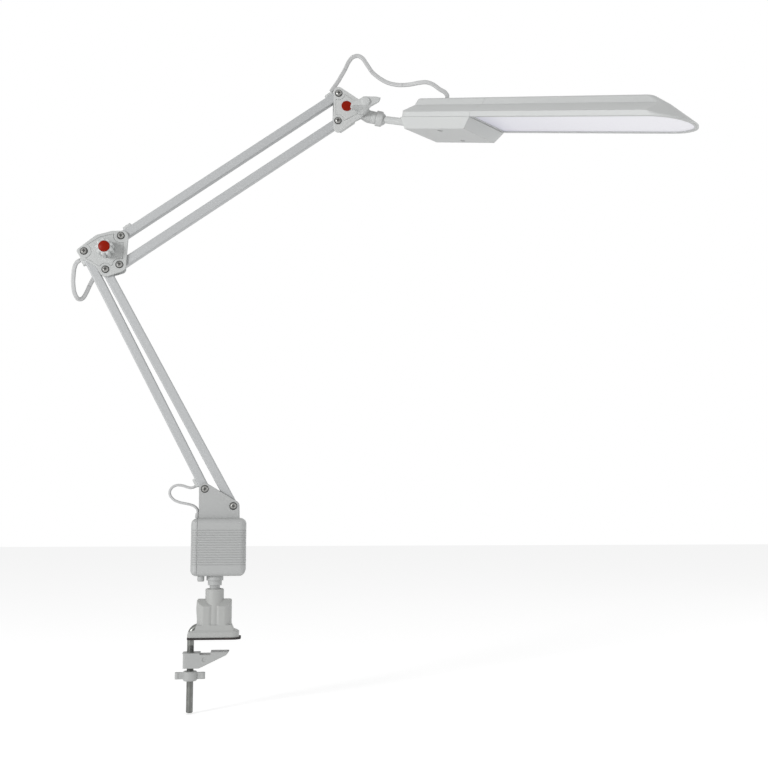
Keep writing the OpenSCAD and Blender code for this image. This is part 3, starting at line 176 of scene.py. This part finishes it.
def makeFlex(name, node, key, wideAcross, before=None, after=None):
    points = flex[key]
    line = smoothLine(points, before or beyond(points, False), after or beyond(points, True), flex["step"])
    piece = sweepFlex(name, line, wideAcross)
    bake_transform(piece)
    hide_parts(node)
    round(lineLength(line), 4)
    [tuple(p * 0.001) for p in line]
    flexPieces.append(piece)


makeFlex("flexBase", "base_loop", "base", True)
makeFlex("flexElbowLow", "elbow_loop_a", "elbowLow", False,
         after=flex["elbowHigh"][1])
makeFlex("flexElbowHigh", "elbow_loop_b", "elbowHigh", False,
         before=flex["elbowLow"][-2])
makeFlex("flexHeadA", "head_loop_a", "headA", False, after=flex["headB"][1])
makeFlex("flexHeadB", "head_loop_b", "headB", False,
         before=flex["headA"][-2], after=flex["headC"][1])
makeFlex("flexHeadC", "head_loop_c", "headC", False,
         before=flex["headB"][-2], after=flex["headD"][1])
makeFlex("flexHeadD", "head_loop_d", "headD", False, before=flex["headC"][-2])
print("flex laid")


# Moulded front plates of the elbow and the head bracket: a raised face inside a fine groove

plateForm = {
    "back": -6.5, "rim": -9.5, "raise": 0.4, "edge": 0.8, "edgeSteps": 5,
    "groove": 0.3, "depth": 0.55, "slope": 1.6, "mitre": 0.5,
    "cornerStep": 0.15, "landStep": 0.2, "leastRadius": 0.05, "sharpAngle": 0.7,
    "skirtWall": 1.8, "skirtFront": -6.3, "skirtBack": -0.4,
}
elbowPlate = {
    "outline": [(-180.6, 498.6, 4.2), (-178.4, 489.6, 0.9), (-159.4, 479.6, 0.9), (-146.9, 473.4, 8.2),
                (-129.2, 480.2, 8), (-127.2, 518.8, 8.2), (-139, 517.4, 9), (-156.5, 512.2, 9)],
    "lands": [(-175.5, 498.5, 9.4), (-147.4, 474.9, 8.2), (-129.7, 481.6, 8.2), (-128.8, 520, 9.2)],
    "between": [[(-173.5, 491.6), (-157, 479.8)], [(-140, 480.2), (-137.4, 481.2)],
                [(-124.9, 490), (-125, 511)], [(-138, 522.4), (-155.3, 517.8), (-170.2, 509.6)]],
}
bracketPlate = {
    "outline": [(155.6, 676.4, 6.6), (190.8, 703.6, 6.8), (155.8, 726.4, 6.6)],
    "lands": [(155.8, 723.7, 8.8), (154.9, 685.3, 8.8), (190.8, 703.6, 4)],
    "between": [[(152.6, 716), (152.5, 693)], [(166.2, 686.2), (188, 699.4)],
                [(186, 709.5), (163.6, 722.6)]],
    "skirt": [(159.4, 671.1), (178.3, 684.9)],
}


def cornerWays(corners, i):
    # the outward directions at which the outline's straights meet corner i
    x, z, radius = corners[i]
    ways = []
    for j, sign in ((i - 1, 1), ((i + 1) % len(corners), -1)):
        other = corners[j]
        span = (Vector((x, z)) - Vector(other[:2])) * sign
        lean = (other[2] - radius) * sign / span.length
        side = Vector((span.y, -span.x)).normalized()
        ways.append(side * math.sqrt(1 - lean * lean) + span.normalized() * lean)
    return ways


def outlineRing(corners, inset):
    # the outline drawn in by inset; corners are (x, z, radius), anticlockwise
    ring = []
    for i, (x, z, radius) in enumerate(corners):
        first, last = cornerWays(corners, i)
        turn = first.x * last.y - first.y * last.x
        if turn > 0:
            bend = math.acos(max(-1, min(1, first.dot(last))))
            count = max(2, round(bend / plateForm["cornerStep"]))
            ways = [(first * (1 - j / count) + last * j / count).normalized() for j in range(count + 1)]
            ring += [Vector((x, z)) + way * max(plateForm["leastRadius"], radius - inset) for way in ways]
        else:
            middle = (first + last).normalized()
            ring.append(Vector((x, z)) + middle * (radius - inset) / middle.dot(first))
    return ring


def facePath(plate):
    # the raised face's edge, which bends round each screw's land
    path = []
    count = len(plate["lands"])
    for i, (x, z, radius) in enumerate(plate["lands"]):
        centre = Vector((x, z))
        before = Vector(plate["between"][i - 1][-1]) - centre
        after = Vector(plate["between"][i][0]) - centre
        start, end = math.atan2(before.y, before.x), math.atan2(after.y, after.x)
        sweep = (start - end) % (2 * math.pi)
        steps = max(3, round(sweep / plateForm["landStep"]))
        for j in range(steps + 1):
            angle = start - sweep * j / steps
            path.append(centre + Vector((math.cos(angle), math.sin(angle))) * radius)
        for here in plate["between"][i][1:-1]:
            path.append(Vector(here))
    return path


def drawnOut(path, shift):
    # a closed anticlockwise path, moved outwards
    moved = []
    for i, here in enumerate(path):
        ways = (here - path[i - 1], path[(i + 1) % len(path)] - here)
        sides = [Vector((way.y, -way.x)).normalized() for way in ways]
        middle = (sides[0] + sides[1]).normalized()
        moved.append(here + middle * shift / max(plateForm["mitre"], middle.dot(sides[0])))
    return moved


def frontPlate(name, plate, node, body):
    mesh = bmesh.new()
    flat = []

    def ring(points, y):
        return [mesh.verts.new((q.x * 0.001, y * 0.001, q.y * 0.001)) for q in points]

    def fill(*loops):
        # a flat face with holes
        verts = [v for loop in loops for v in loop]
        for tri in tessellate_polygon([[v.co.xzy for v in loop] for loop in loops]):
            flat.append(mesh.faces.new([verts[k] for k in tri]))

    rim, edge, cut = plateForm["rim"], plateForm["edge"], plateForm["groove"]
    last = ring(outlineRing(plate["outline"], 0), plateForm["back"])
    fill(last)
    for step in range(plateForm["edgeSteps"] + 1):
        angle = step * math.pi / (2 * plateForm["edgeSteps"])
        inset, lift = edge * (1 - math.cos(angle)), edge * (1 - math.sin(angle))
        here = ring(outlineRing(plate["outline"], inset), rim + lift)
        joinRings(mesh, last, here)
        last = here
    path = facePath(plate)
    outer = ring(drawnOut(path, cut), rim)
    floor = ring(path, rim + plateForm["depth"])
    inner = ring(drawnOut(path, -cut * plateForm["slope"]), rim - plateForm["raise"])
    fill(last, outer)
    joinRings(mesh, outer, floor)
    joinRings(mesh, floor, inner)
    fill(inner)
    if "skirt" in plate:
        foot, head = (Vector(q) for q in plate["skirt"])
        inward = (head - foot).orthogonal().normalized() * plateForm["skirtWall"]
        strip = [foot, head, head + inward, foot + inward]
        near, far = ring(strip, plateForm["skirtFront"]), ring(strip, plateForm["skirtBack"])
        joinRings(mesh, near, far)
        fill(near)
        fill(far)
    bmesh.ops.recalc_face_normals(mesh, faces=mesh.faces)
    sharp = {e for face in flat for e in face.edges}
    for e in mesh.edges:
        e.smooth = not (e in sharp or e.calc_face_angle(0) > plateForm["sharpAngle"])
    piece = finishMesh(name, mesh, True)
    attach(piece, body)
    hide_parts(node)
    return piece


elbowFace = frontPlate("elbowFrontPlate", elbowPlate, "elbow_front", "elbow")
bracketFace = frontPlate("bracketFrontPlate", bracketPlate, "bracket_front", "bracket")
print("front plates moulded")


# Wing knob: two tapering wings that grow out of a round hub

wing = {
    "axis": (187.06, 702.34), "points": 40, "hub": (190.2, 702.9), "sharpAngle": 0.6,
    "hubRings": [(6.2, -30), (5.9, -38), (5.3, -40.4), (4.9, -41), (3.6, -41.2)],
    "front": [(184.1, 707.4), (187.3, 709.8), (210.4, 710.7), (209.1, 703.5), (197.9, 698.6), (187.2, 698),
              (171.4, 697.2), (171.2, 700.4)],
    "heights": [-10.6, -14, -18, -24, -33, -37.2, -38.4],
    "spread": [0, 0.08, 0.2, 0.42, 0.85, 1, 0.93],
    "spreadLeft": [0, 0.15, 0.72, 0.92, 1, 1, 0.95],
    "base": 8.1, "root": 7.2,
}


def reachTo(polygon, centre, angle):
    # how far the polygon's edge lies from the centre in one direction
    way = Vector((math.cos(angle), math.sin(angle)))
    best = 0
    for i, corner in enumerate(polygon):
        a, b = Vector(polygon[i - 1]) - centre, Vector(corner) - centre
        span = b - a
        cross = way.x * span.y - way.y * span.x
        if abs(cross) > 1e-9:
            far = (a.x * span.y - a.y * span.x) / cross
            along = (a.x * way.y - a.y * way.x) / cross
            if far > 0 and -1e-6 <= along <= 1 + 1e-6:
                best = max(best, far)
    return best


def wingKnob(name):
    mesh = bmesh.new()
    axis, hub = Vector(wing["axis"]), Vector(wing["hub"])
    angles = [2 * math.pi * k / wing["points"] for k in range(wing["points"])]

    def ring(centre, reaches, height):
        made = []
        for angle, reach in zip(angles, reaches):
            spot = centre + Vector((math.cos(angle), math.sin(angle))) * reach
            made.append(mesh.verts.new((spot.x * 0.001, height * 0.001, spot.y * 0.001)))
        return made

    wingRings = []
    for height, right, left in zip(wing["heights"], wing["spread"], wing["spreadLeft"]):
        reaches = []
        for angle in angles:
            spread = left if math.cos(angle) < 0 else right
            root = wing["base"] + (wing["root"] - wing["base"]) * spread
            reaches.append(root * (1 - spread) + reachTo(wing["front"], hub, angle) * spread)
        wingRings.append(ring(axis.lerp(hub, right), reaches, height))
    hubRings = [ring(hub, [radius] * len(angles), height) for radius, height in wing["hubRings"]]
    for rings in (wingRings, hubRings):
        for a, b in zip(rings, rings[1:]):
            joinRings(mesh, a, b)
        mesh.faces.new(rings[0])
        mesh.faces.new(rings[-1])
    bmesh.ops.recalc_face_normals(mesh, faces=mesh.faces)
    for e in mesh.edges:
        e.smooth = e.calc_face_angle(0) <= wing["sharpAngle"]
    piece = finishMesh(name, mesh, True)
    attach(piece, "wing_knob")
    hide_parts("wing_knob")
    return piece


wingHandle = wingKnob("wingHandle")
print("wing knob formed")


# Shader helpers


class Signal:
    # a socket that can be used in plain arithmetic
    def __init__(self, shader, socket):
        self.shader, self.socket = shader, socket

    def math(self, operation, *values):
        return self.shader.node("Math", {"operation": operation}, dict(enumerate(values)))

    def __add__(self, other):
        return self.math("ADD", self, other)

    __radd__ = __add__

    def __sub__(self, other):
        return self.math("SUBTRACT", self, other)

    def __rsub__(self, other):
        return self.math("SUBTRACT", other, self)

    def __mul__(self, other):
        return self.math("MULTIPLY", self, other)

    __rmul__ = __mul__

    def __truediv__(self, other):
        return self.math("DIVIDE", self, other)

    def __gt__(self, other):
        return self.math("GREATER_THAN", self, other)

    def __lt__(self, other):
        return self.math("LESS_THAN", self, other)


class Shader:
    def __init__(self, name):
        self.material = bpy.data.materials.new(name)
        self.material.use_nodes = True
        self.tree = self.material.node_tree
        self.tree.nodes.clear()

    def node(self, kind, settings=None, inputs=None, output=0):
        item = self.tree.nodes.new("ShaderNode" + kind)
        for key, value in (settings or {}).items():
            if key == "stops":
                ramp = item.color_ramp
                while len(ramp.elements) > 1:
                    ramp.elements.remove(ramp.elements[0])
                for i, (at, tone) in enumerate(value):
                    stop = ramp.elements[0] if i == 0 else ramp.elements.new(at)
                    stop.position = at
                    stop.color = (tone, tone, tone, 1) if isinstance(tone, (int, float)) else (*tone, 1)
            else:
                setattr(item, key, value)
        for key, value in (inputs or {}).items():
            if isinstance(value, Signal):
                self.tree.links.new(value.socket, item.inputs[key])
            else:
                item.inputs[key].default_value = value
        return Signal(self, item.outputs[output]) if len(item.outputs) else None

    def mix(self, amount, a, b):
        item = self.tree.nodes.new("ShaderNodeMix")
        item.data_type = "RGBA"
        for index, value in ((0, amount), (6, a), (7, b)):
            if isinstance(value, Signal):
                self.tree.links.new(value.socket, item.inputs[index])
            else:
                item.inputs[index].default_value = value if index == 0 else (*value, 1)
        return Signal(self, item.outputs[2])

    def place(self):
        return self.node("TexCoord", output=3)

    def noise(self, scale, detail=2, rough=0.5, vector=None):
        return self.node("TexNoise", inputs={"Vector": vector or self.place(), "Scale": scale,
                                             "Detail": detail, "Roughness": rough})

    def steps(self, value, stops):
        return self.node("ValToRGB", {"stops": stops}, {"Fac": value})

    def bump(self, height, strength, distance, normal=None):
        inputs = {"Height": height, "Strength": strength, "Distance": distance}
        if normal is not None:
            inputs["Normal"] = normal
        return self.node("Bump", inputs=inputs)

    def softEdges(self, radius):
        return self.node("Bevel", {"samples": 6}, {"Radius": radius})

    def finish(self, **inputs):
        surface = self.node("BsdfPrincipled", inputs={k.replace("_", " "): v for k, v in inputs.items()})
        self.node("OutputMaterial", inputs={"Surface": surface})
        return self.material


def shade(tone, factor):
    return tuple(min(1, c * factor) for c in tone)


# Materials

moulded = {"colour": (0.50, 0.508, 0.503), "roughness": 0.46, "edge": 0.0007, "cloud": 22,
           "grain": 2600, "grainDepth": 0.00006, "flow": 140, "flowDepth": 0.0003}


def mouldedPlastic(name, colour=None, roughness=None, edge=None):
    s = Shader(name)
    tone = colour or moulded["colour"]
    cloud = s.noise(moulded["cloud"], 3, 0.55)
    fine = s.noise(moulded["grain"], 2, 0.6)
    flow = s.noise(moulded["flow"], 2, 0.5)
    base = s.mix(cloud, shade(tone, 0.965), shade(tone, 1.03))
    base = s.mix(fine * 0.25, base, shade(tone, 1.06))
    waves = s.bump(flow, 0.06, moulded["flowDepth"], s.softEdges(edge or moulded["edge"]))
    skin = s.bump(fine, 0.10, moulded["grainDepth"], waves)
    rough = (roughness or moulded["roughness"]) - 0.05 + cloud * 0.08 + fine * 0.04
    return s.finish(Base_Color=base, Roughness=rough, Normal=skin)


powder = {"colour": (0.470, 0.481, 0.486), "roughness": 0.36, "edge": 0.0004, "cloud": 16,
          "peel": 700, "peelDepth": 0.00008}


def powderCoat(name, colour=None):
    s = Shader(name)
    tone = colour or powder["colour"]
    cloud = s.noise(powder["cloud"], 2, 0.5)
    peel = s.noise(powder["peel"], 2, 0.5)
    base = s.mix(cloud, shade(tone, 0.97), shade(tone, 1.03))
    skin = s.bump(peel, 0.06, powder["peelDepth"], s.softEdges(powder["edge"]))
    return s.finish(Base_Color=base, Roughness=powder["roughness"] + peel * 0.04, Normal=skin)


castPaint = {"colour": (0.415, 0.422, 0.412), "roughness": 0.45, "edge": 0.0012,
             "cloud": 40, "cloudDepth": 0.0008, "pits": 1300, "pitDepth": 0.00018}


def paintedCasting(name, colour=None):
    s = Shader(name)
    tone = colour or castPaint["colour"]
    cloud = s.noise(castPaint["cloud"], 4, 0.6)
    pits = s.noise(castPaint["pits"], 3, 0.6)
    base = s.mix(cloud, shade(tone, 0.95), shade(tone, 1.04))
    swell = s.bump(cloud, 0.12, castPaint["cloudDepth"], s.softEdges(castPaint["edge"]))
    skin = s.bump(pits, 0.16, castPaint["pitDepth"], swell)
    return s.finish(Base_Color=base, Roughness=castPaint["roughness"] + pits * 0.12, Normal=skin)


# rim: colour of the painted shadow ring round each screw head and of the painted shade in its drive recess
zinc = {"colour": (0.30, 0.30, 0.29), "rim": (0.035, 0.036, 0.035), "roughness": 0.3,
        "shadowRingInside": 3.7, "shadowRingOutside": 4.3, "driveShadeRadius": 1.5, "edge": 0.00025,
        "spangle": 420, "spangleDepth": 0.0001, "stain": 90}


def zincSteel(name, centres=()):
    # centres: the screws' axes as (x, z) in millimetres, for the painted shadow ring round each head and the
    # painted shade in each drive recess
    s = Shader(name)
    tone = zinc["colour"]
    spangle = s.noise(zinc["spangle"], 2, 0.5)
    stain = s.noise(zinc["stain"], 4, 0.65)
    base = s.mix(s.steps(stain, [(0.42, 0), (0.66, 1)]), tone, shade(tone, 0.75))
    base = s.mix(spangle * 0.3, base, shade(tone, 1.25))
    reach = None
    for x, z in centres:
        flat = s.node("VectorMath", {"operation": "MULTIPLY"}, {0: s.place(), 1: (1000, 0, 1000)})
        off = s.node("VectorMath", {"operation": "DISTANCE"}, {0: flat, 1: (x, 0, z)}, output=1)
        reach = off if reach is None else reach.math("MINIMUM", reach, off)
    if reach is not None:
        # painted shadow ring round each screw head, and painted shade in its drive recess
        rim = s.steps(reach * 0.1, [(zinc["shadowRingInside"] * 0.1, 0), (zinc["shadowRingOutside"] * 0.1, 1)])
        driveShade = s.steps(reach * 0.1, [(zinc["driveShadeRadius"] * 0.1, 1), (zinc["driveShadeRadius"] * 0.1 + 0.06, 0)])
        base = s.mix(rim, base, zinc["rim"])
        base = s.mix(driveShade * 0.75, base, zinc["rim"])
    skin = s.bump(spangle, 0.08, zinc["spangleDepth"], s.softEdges(zinc["edge"]))
    rough = zinc["roughness"] + stain * 0.14
    return s.finish(Base_Color=base, Metallic=0.85, Roughness=rough, Normal=skin)


rodSteel = {"colour": (0.20, 0.205, 0.195), "roughness": 0.3, "edge": 0.0003, "stain": 120,
            "pitch": 1.25, "lean": 380, "threadTop": -0.008, "threadDepth": 0.00035}


def threadedSteel(name):
    s = Shader(name)
    tone = rodSteel["colour"]
    spot = s.place()
    height = s.node("SeparateXYZ", inputs={"Vector": spot}, output=2)
    depth = s.node("SeparateXYZ", inputs={"Vector": spot}, output=1)
    turns = height * (2 * math.pi / (rodSteel["pitch"] * 0.001)) + depth * rodSteel["lean"]
    wave = turns.math("SINE", turns)
    threaded = height < rodSteel["threadTop"]
    stain = s.noise(rodSteel["stain"], 4, 0.6)
    base = s.mix(s.steps(stain, [(0.35, 0), (0.7, 1)]), tone, shade(tone, 0.7))
    # painted shade in the thread's roots, darker where the thread dips
    base = s.mix((0.5 - wave * 0.5) * threaded * 0.45, base, shade(tone, 0.45))
    skin = s.bump(wave * threaded, 0.5, rodSteel["threadDepth"], s.softEdges(rodSteel["edge"]))
    rough = rodSteel["roughness"] + stain * 0.12
    return s.finish(Base_Color=base, Metallic=0.92, Roughness=rough, Normal=skin)


rubber = {"colour": (0.012, 0.009, 0.009), "dustColour": (0.045, 0.030, 0.028), "roughness": 0.72,
          "edge": 0.0004, "dust": 70, "grain": 900, "grainDepth": 0.0002}


def padRubber(name):
    s = Shader(name)
    grain = s.noise(rubber["grain"], 3, 0.6)
    dust = s.noise(rubber["dust"], 4, 0.7)
    base = s.mix(s.steps(dust, [(0.5, 0), (0.75, 1)]), rubber["colour"], rubber["dustColour"])
    skin = s.bump(grain, 0.3, rubber["grainDepth"], s.softEdges(rubber["edge"]))
    return s.finish(Base_Color=base, Roughness=rubber["roughness"] + grain * 0.14, Normal=skin)


cap = {"colour": (0.240, 0.009, 0.001), "roughness": 0.34, "specular": 0.1, "edge": 0.0004,
       "cloud": 180, "cloudDepth": 0.0003}


def redPlastic(name):
    s = Shader(name)
    tone = cap["colour"]
    cloud = s.noise(cap["cloud"], 3, 0.5)
    base = s.mix(cloud, shade(tone, 0.85), shade(tone, 1.25))
    skin = s.bump(cloud, 0.04, cap["cloudDepth"], s.softEdges(cap["edge"]))
    return s.finish(Base_Color=base, Roughness=cap["roughness"] + cloud * 0.06,
                    Specular_IOR_Level=cap["specular"], Normal=skin)


opal = {"colour": (0.45, 0.45, 0.46), "roughness": 0.34, "cloud": 9, "dots": 420, "dotDepth": 0.0003,
        "glow": 0.39, "near": (0.50, 0.50, 0.65), "far": (1.0, 0.99, 1.06),
        "start": (0.3347, -0.1095), "way": (0.745, -0.637), "length": 0.265,
        "rise": [(0.0, 0), (0.12, 0.55), (0.5, 0.85), (1.0, 1)]}


def opalDiffuser(name):
    # the glow is weaker and cooler beside the driver cover
    s = Shader(name)
    tone = opal["colour"]
    cloud = s.noise(opal["cloud"], 2, 0.5)
    dots = s.node("TexVoronoi", {"feature": "F1"}, {"Vector": s.place(), "Scale": opal["dots"]})
    base = s.mix(cloud, shade(tone, 0.97), shade(tone, 1.02))
    wayX, wayY = opal["way"]
    startX, startY = opal["start"]
    along = s.node("VectorMath", {"operation": "DOT_PRODUCT"}, {0: s.place(), 1: (wayX, wayY, 0)}, output=1)
    reach = (along - (startX * wayX + startY * wayY)) / opal["length"]
    glow = s.mix(s.steps(reach, opal["rise"]), opal["near"], opal["far"])
    skin = s.bump(dots, 0.12, opal["dotDepth"])
    return s.finish(Base_Color=base, Roughness=opal["roughness"] + dots * 0.1, Normal=skin,
                    Emission_Color=glow, Emission_Strength=opal["glow"])


board = {"track": (0.10, 0.26, 0.10), "mask": (0.03, 0.13, 0.06), "trackWidth": 0.06,
         "pattern": 260, "trackDepth": 0.0001, "roughness": 0.38}


def circuitBoard(name):
    s = Shader(name)
    place = {"Vector": s.place(), "Scale": board["pattern"]}
    tracks = s.node("TexVoronoi", {"feature": "DISTANCE_TO_EDGE"}, place)
    base = s.mix(tracks > board["trackWidth"], board["track"], board["mask"])
    skin = s.bump(tracks, 0.1, board["trackDepth"])
    return s.finish(Base_Color=base, Roughness=board["roughness"] + tracks * 0.2, Normal=skin)


softPvc = {"colour": (0.52, 0.525, 0.526), "roughness": 0.42, "cloud": 55, "grain": 1800,
           "grainDepth": 0.00005}


def flexSkin(name):
    s = Shader(name)
    tone = softPvc["colour"]
    cloud = s.noise(softPvc["cloud"], 3, 0.6)
    fine = s.noise(softPvc["grain"], 2, 0.5)
    base = s.mix(cloud, shade(tone, 0.94), shade(tone, 1.05))
    skin = s.bump(fine, 0.04, softPvc["grainDepth"])
    return s.finish(Base_Color=base, Roughness=softPvc["roughness"] + fine * 0.1, Normal=skin)


def axisOf(jointName):
    # where a hinge stands, as (x, z) in millimetres
    joints = frame["record"]["behaviour"]["joints"]
    x, y, z = next(joint["pos_m"] for joint in joints if joint["name"] == jointName)
    return x * 1000, z * 1000


elbowSpan = {"x": 28.1, "z": -23.6}  # from the elbow's first screw to its lowest one

lowFront, lowRear = axisOf("lower_lift"), axisOf("lower_arm_b_pivot")
elbowFirst, elbowTop, elbowSide = axisOf("elbow_pivot"), axisOf("upper_lift"), axisOf("upper_arm_b_pivot")
headTop = axisOf("bracket_pivot")
elbowLow = (elbowFirst[0] + elbowSpan["x"], elbowFirst[1] + elbowSpan["z"])
headLow = (headTop[0] + elbowSide[0] - elbowTop[0], headTop[1] + elbowSide[1] - elbowTop[1])

# The grey plastic parts are one plastic, yet their tones differ part by part as painted light and shade:
# darker low down at the box, lighter up at the bracket and the head. The head rod's coat is lighter than the
# tubes' and the jaw's paint darker than the clamp's for the same reason.
finishes = {
    "boxPlastic": mouldedPlastic("boxGrey", (0.420, 0.428, 0.425)),
    "jointPlastic": mouldedPlastic("jointGrey", (0.560, 0.572, 0.567)),
    "bracketPlastic": mouldedPlastic("bracketGrey", (0.570, 0.580, 0.574)),
    "platePlastic": mouldedPlastic("elbowPlateGrey", (0.500, 0.511, 0.506)),
    "ballPlastic": mouldedPlastic("ballJointGrey", (0.535, 0.545, 0.540)),
    "headPlastic": mouldedPlastic("headGrey", (0.572, 0.584, 0.579), 0.42, 0.0010),
    "tube": powderCoat("tubeCoat"),
    "headRod": powderCoat("headRodCoat", (0.55, 0.561, 0.556)),
    "casting": paintedCasting("clampPaint"),
    "jawCasting": paintedCasting("jawPaint", (0.41, 0.418, 0.413)),
    "baseScrew": zincSteel("baseScrewZinc", (lowFront, lowRear)),
    "elbowScrew": zincSteel("elbowScrewZinc", (elbowFirst, elbowLow, elbowTop, elbowSide)),
    "bracketScrew": zincSteel("bracketScrewZinc", (headTop, headLow)),
    "zinc": zincSteel("plainZinc"),
    "rod": threadedSteel("clampRodSteel"),
    "rubber": padRubber("padRubber"),
    "red": redPlastic("capRed"),
    "opal": opalDiffuser("opalWindow"),
    "nylon": mouldedPlastic("paleNylon", (0.72, 0.72, 0.70), 0.42, 0.0004),
    "board": circuitBoard("circuitBoard"),
    "flex": flexSkin("flexSkin"),
}

wears = {
    "casting": ["clamp_base"],
    "jawCasting": ["jaw", "wing_nut"],
    "rubber": ["clamp_pad"],
    "rod": ["clamp_rod"],
    "nylon": ["swivel_bush", "lower_arm_a_ends", "lower_arm_b_ends", "upper_arm_a_ends", "upper_arm_b_ends",
              "tilt_washers", "reflector"],
    "boxPlastic": ["swivel_post", "housing_front", "housing_rear", "cord_gland", "flex_outlet"],
    "jointPlastic": ["lower_arm_grommets", "elbow_rear", "tension_knob", "upper_arm_grommets"],
    "ballPlastic": ["joint_front", "joint_rear", "swivel_ball"],
    "bracketPlastic": ["bracket_rear"],
    "headPlastic": ["rear_housing", "lower_cover", "shade", "head_grommet"],
    "tube": ["lower_arm_a", "lower_arm_b", "upper_arm_a", "upper_arm_b"],
    "headRod": ["head_rod"],
    "baseScrew": ["base_screws"],
    "elbowScrew": ["elbow_screws"],
    "bracketScrew": ["bracket_screws"],
    "zinc": ["base_nuts", "elbow_nuts", "tension_bolt", "bracket_nuts", "wing_bolt", "cover_screws"],
    "red": ["knob_cap", "bracket_cap"],
    "opal": ["diffuser"],
    "board": ["driver_board", "led_board"],
    "flex": ["lower_arm_flex", "upper_arm_flex"],
}


def paint(thing, material):
    thing.data.materials.clear()
    thing.data.materials.append(material)


for finishName, nodeNames in wears.items():
    for nodeName in nodeNames:
        target = frame["nodes"][nodeName]
        for slotItem in target.material_slots:
            slotItem.material = finishes[finishName]

for piece in flexPieces:
    paint(piece, finishes["flex"])
greyPieces = {"platePlastic": elbowFace, "bracketPlastic": bracketFace, "jointPlastic": wingHandle}
for finishName, piece in greyPieces.items():
    paint(piece, finishes[finishName])
print("materials set")


# Floor and light

studio = {"floorZ": -0.0935, "floorReach": 6, "floorTone": 0.86, "floorGlow": 0.5, "sky": 0.47}
lamps = {
    "keyLamp": {"place": (-1.9, -2.0, 0.75), "target": (0.1, 0, 0.4), "size": 0.7, "power": 40.5},
    "riseLamp": {"place": (0.2, -0.5, -0.0895), "target": (0.2, -0.5, 1), "size": 2.2, "power": 2.8},
    "sideLamp": {"place": (2.6, -0.25, 0.55), "target": (0.1, 0, 0.4), "size": 1.6, "power": 13.0},
}


def stageFloor():
    mesh = bmesh.new()
    reach, tone = studio["floorReach"], studio["floorTone"]
    spots = ((-reach, -reach), (reach, -reach), (reach, reach), (-reach, reach))
    mesh.faces.new([mesh.verts.new((x, y, studio["floorZ"])) for x, y in spots])
    floor = finishMesh("studioFloor", mesh, False)
    s = Shader("studioFloor")
    seen = s.node("LightPath", output="Is Camera Ray") + s.node("LightPath", output="Is Glossy Ray")
    soft = s.node("BsdfDiffuse", inputs={"Color": (tone, tone, tone, 1)})
    glow = s.node("Emission", inputs={"Color": (1, 1, 1, 1), "Strength": seen * studio["floorGlow"]})
    both = s.node("AddShader", inputs={0: soft, 1: glow})
    s.node("OutputMaterial", inputs={"Surface": both})
    paint(floor, s.material)


def studioWorld():
    # plain white where the camera, a reflection or a clear surface sees it, and a weaker sky as light
    world = bpy.data.worlds.new("studio")
    scene.world = world
    world.use_nodes = True
    tree = world.node_tree
    tree.nodes.clear()
    path = tree.nodes.new("ShaderNodeLightPath")
    seen = tree.nodes.new("ShaderNodeMath")
    seen.operation = "MAXIMUM"
    more = tree.nodes.new("ShaderNodeMath")
    more.operation = "MAXIMUM"
    soft = tree.nodes.new("ShaderNodeBackground")
    soft.inputs["Color"].default_value = (1, 1, 1, 1)
    soft.inputs["Strength"].default_value = studio["sky"]
    bright = tree.nodes.new("ShaderNodeBackground")
    bright.inputs["Color"].default_value = (1, 1, 1, 1)
    bright.inputs["Strength"].default_value = 1
    mixed = tree.nodes.new("ShaderNodeMixShader")
    out = tree.nodes.new("ShaderNodeOutputWorld")
    tree.links.new(path.outputs["Is Camera Ray"], seen.inputs[0])
    tree.links.new(path.outputs["Is Glossy Ray"], seen.inputs[1])
    tree.links.new(seen.outputs[0], more.inputs[0])
    tree.links.new(path.outputs["Is Transmission Ray"], more.inputs[1])
    tree.links.new(more.outputs[0], mixed.inputs[0])
    tree.links.new(soft.outputs[0], mixed.inputs[1])
    tree.links.new(bright.outputs[0], mixed.inputs[2])
    tree.links.new(mixed.outputs[0], out.inputs["Surface"])


def softLamp(name, place, target, size, power):
    data = bpy.data.lights.new(name, "AREA")
    data.shape = "DISK"
    data.size = size
    data.energy = power
    lamp = bpy.data.objects.new(name, data)
    lamp.location = place
    lamp.rotation_euler = (Vector(target) - Vector(place)).to_track_quat("-Z", "Y").to_euler()
    lamp.visible_camera = False
    scene.collection.objects.link(lamp)


stageFloor()
studioWorld()
for lampName, values in lamps.items():
    softLamp(lampName, values["place"], values["target"], values["size"], values["power"])
print("studio lit")
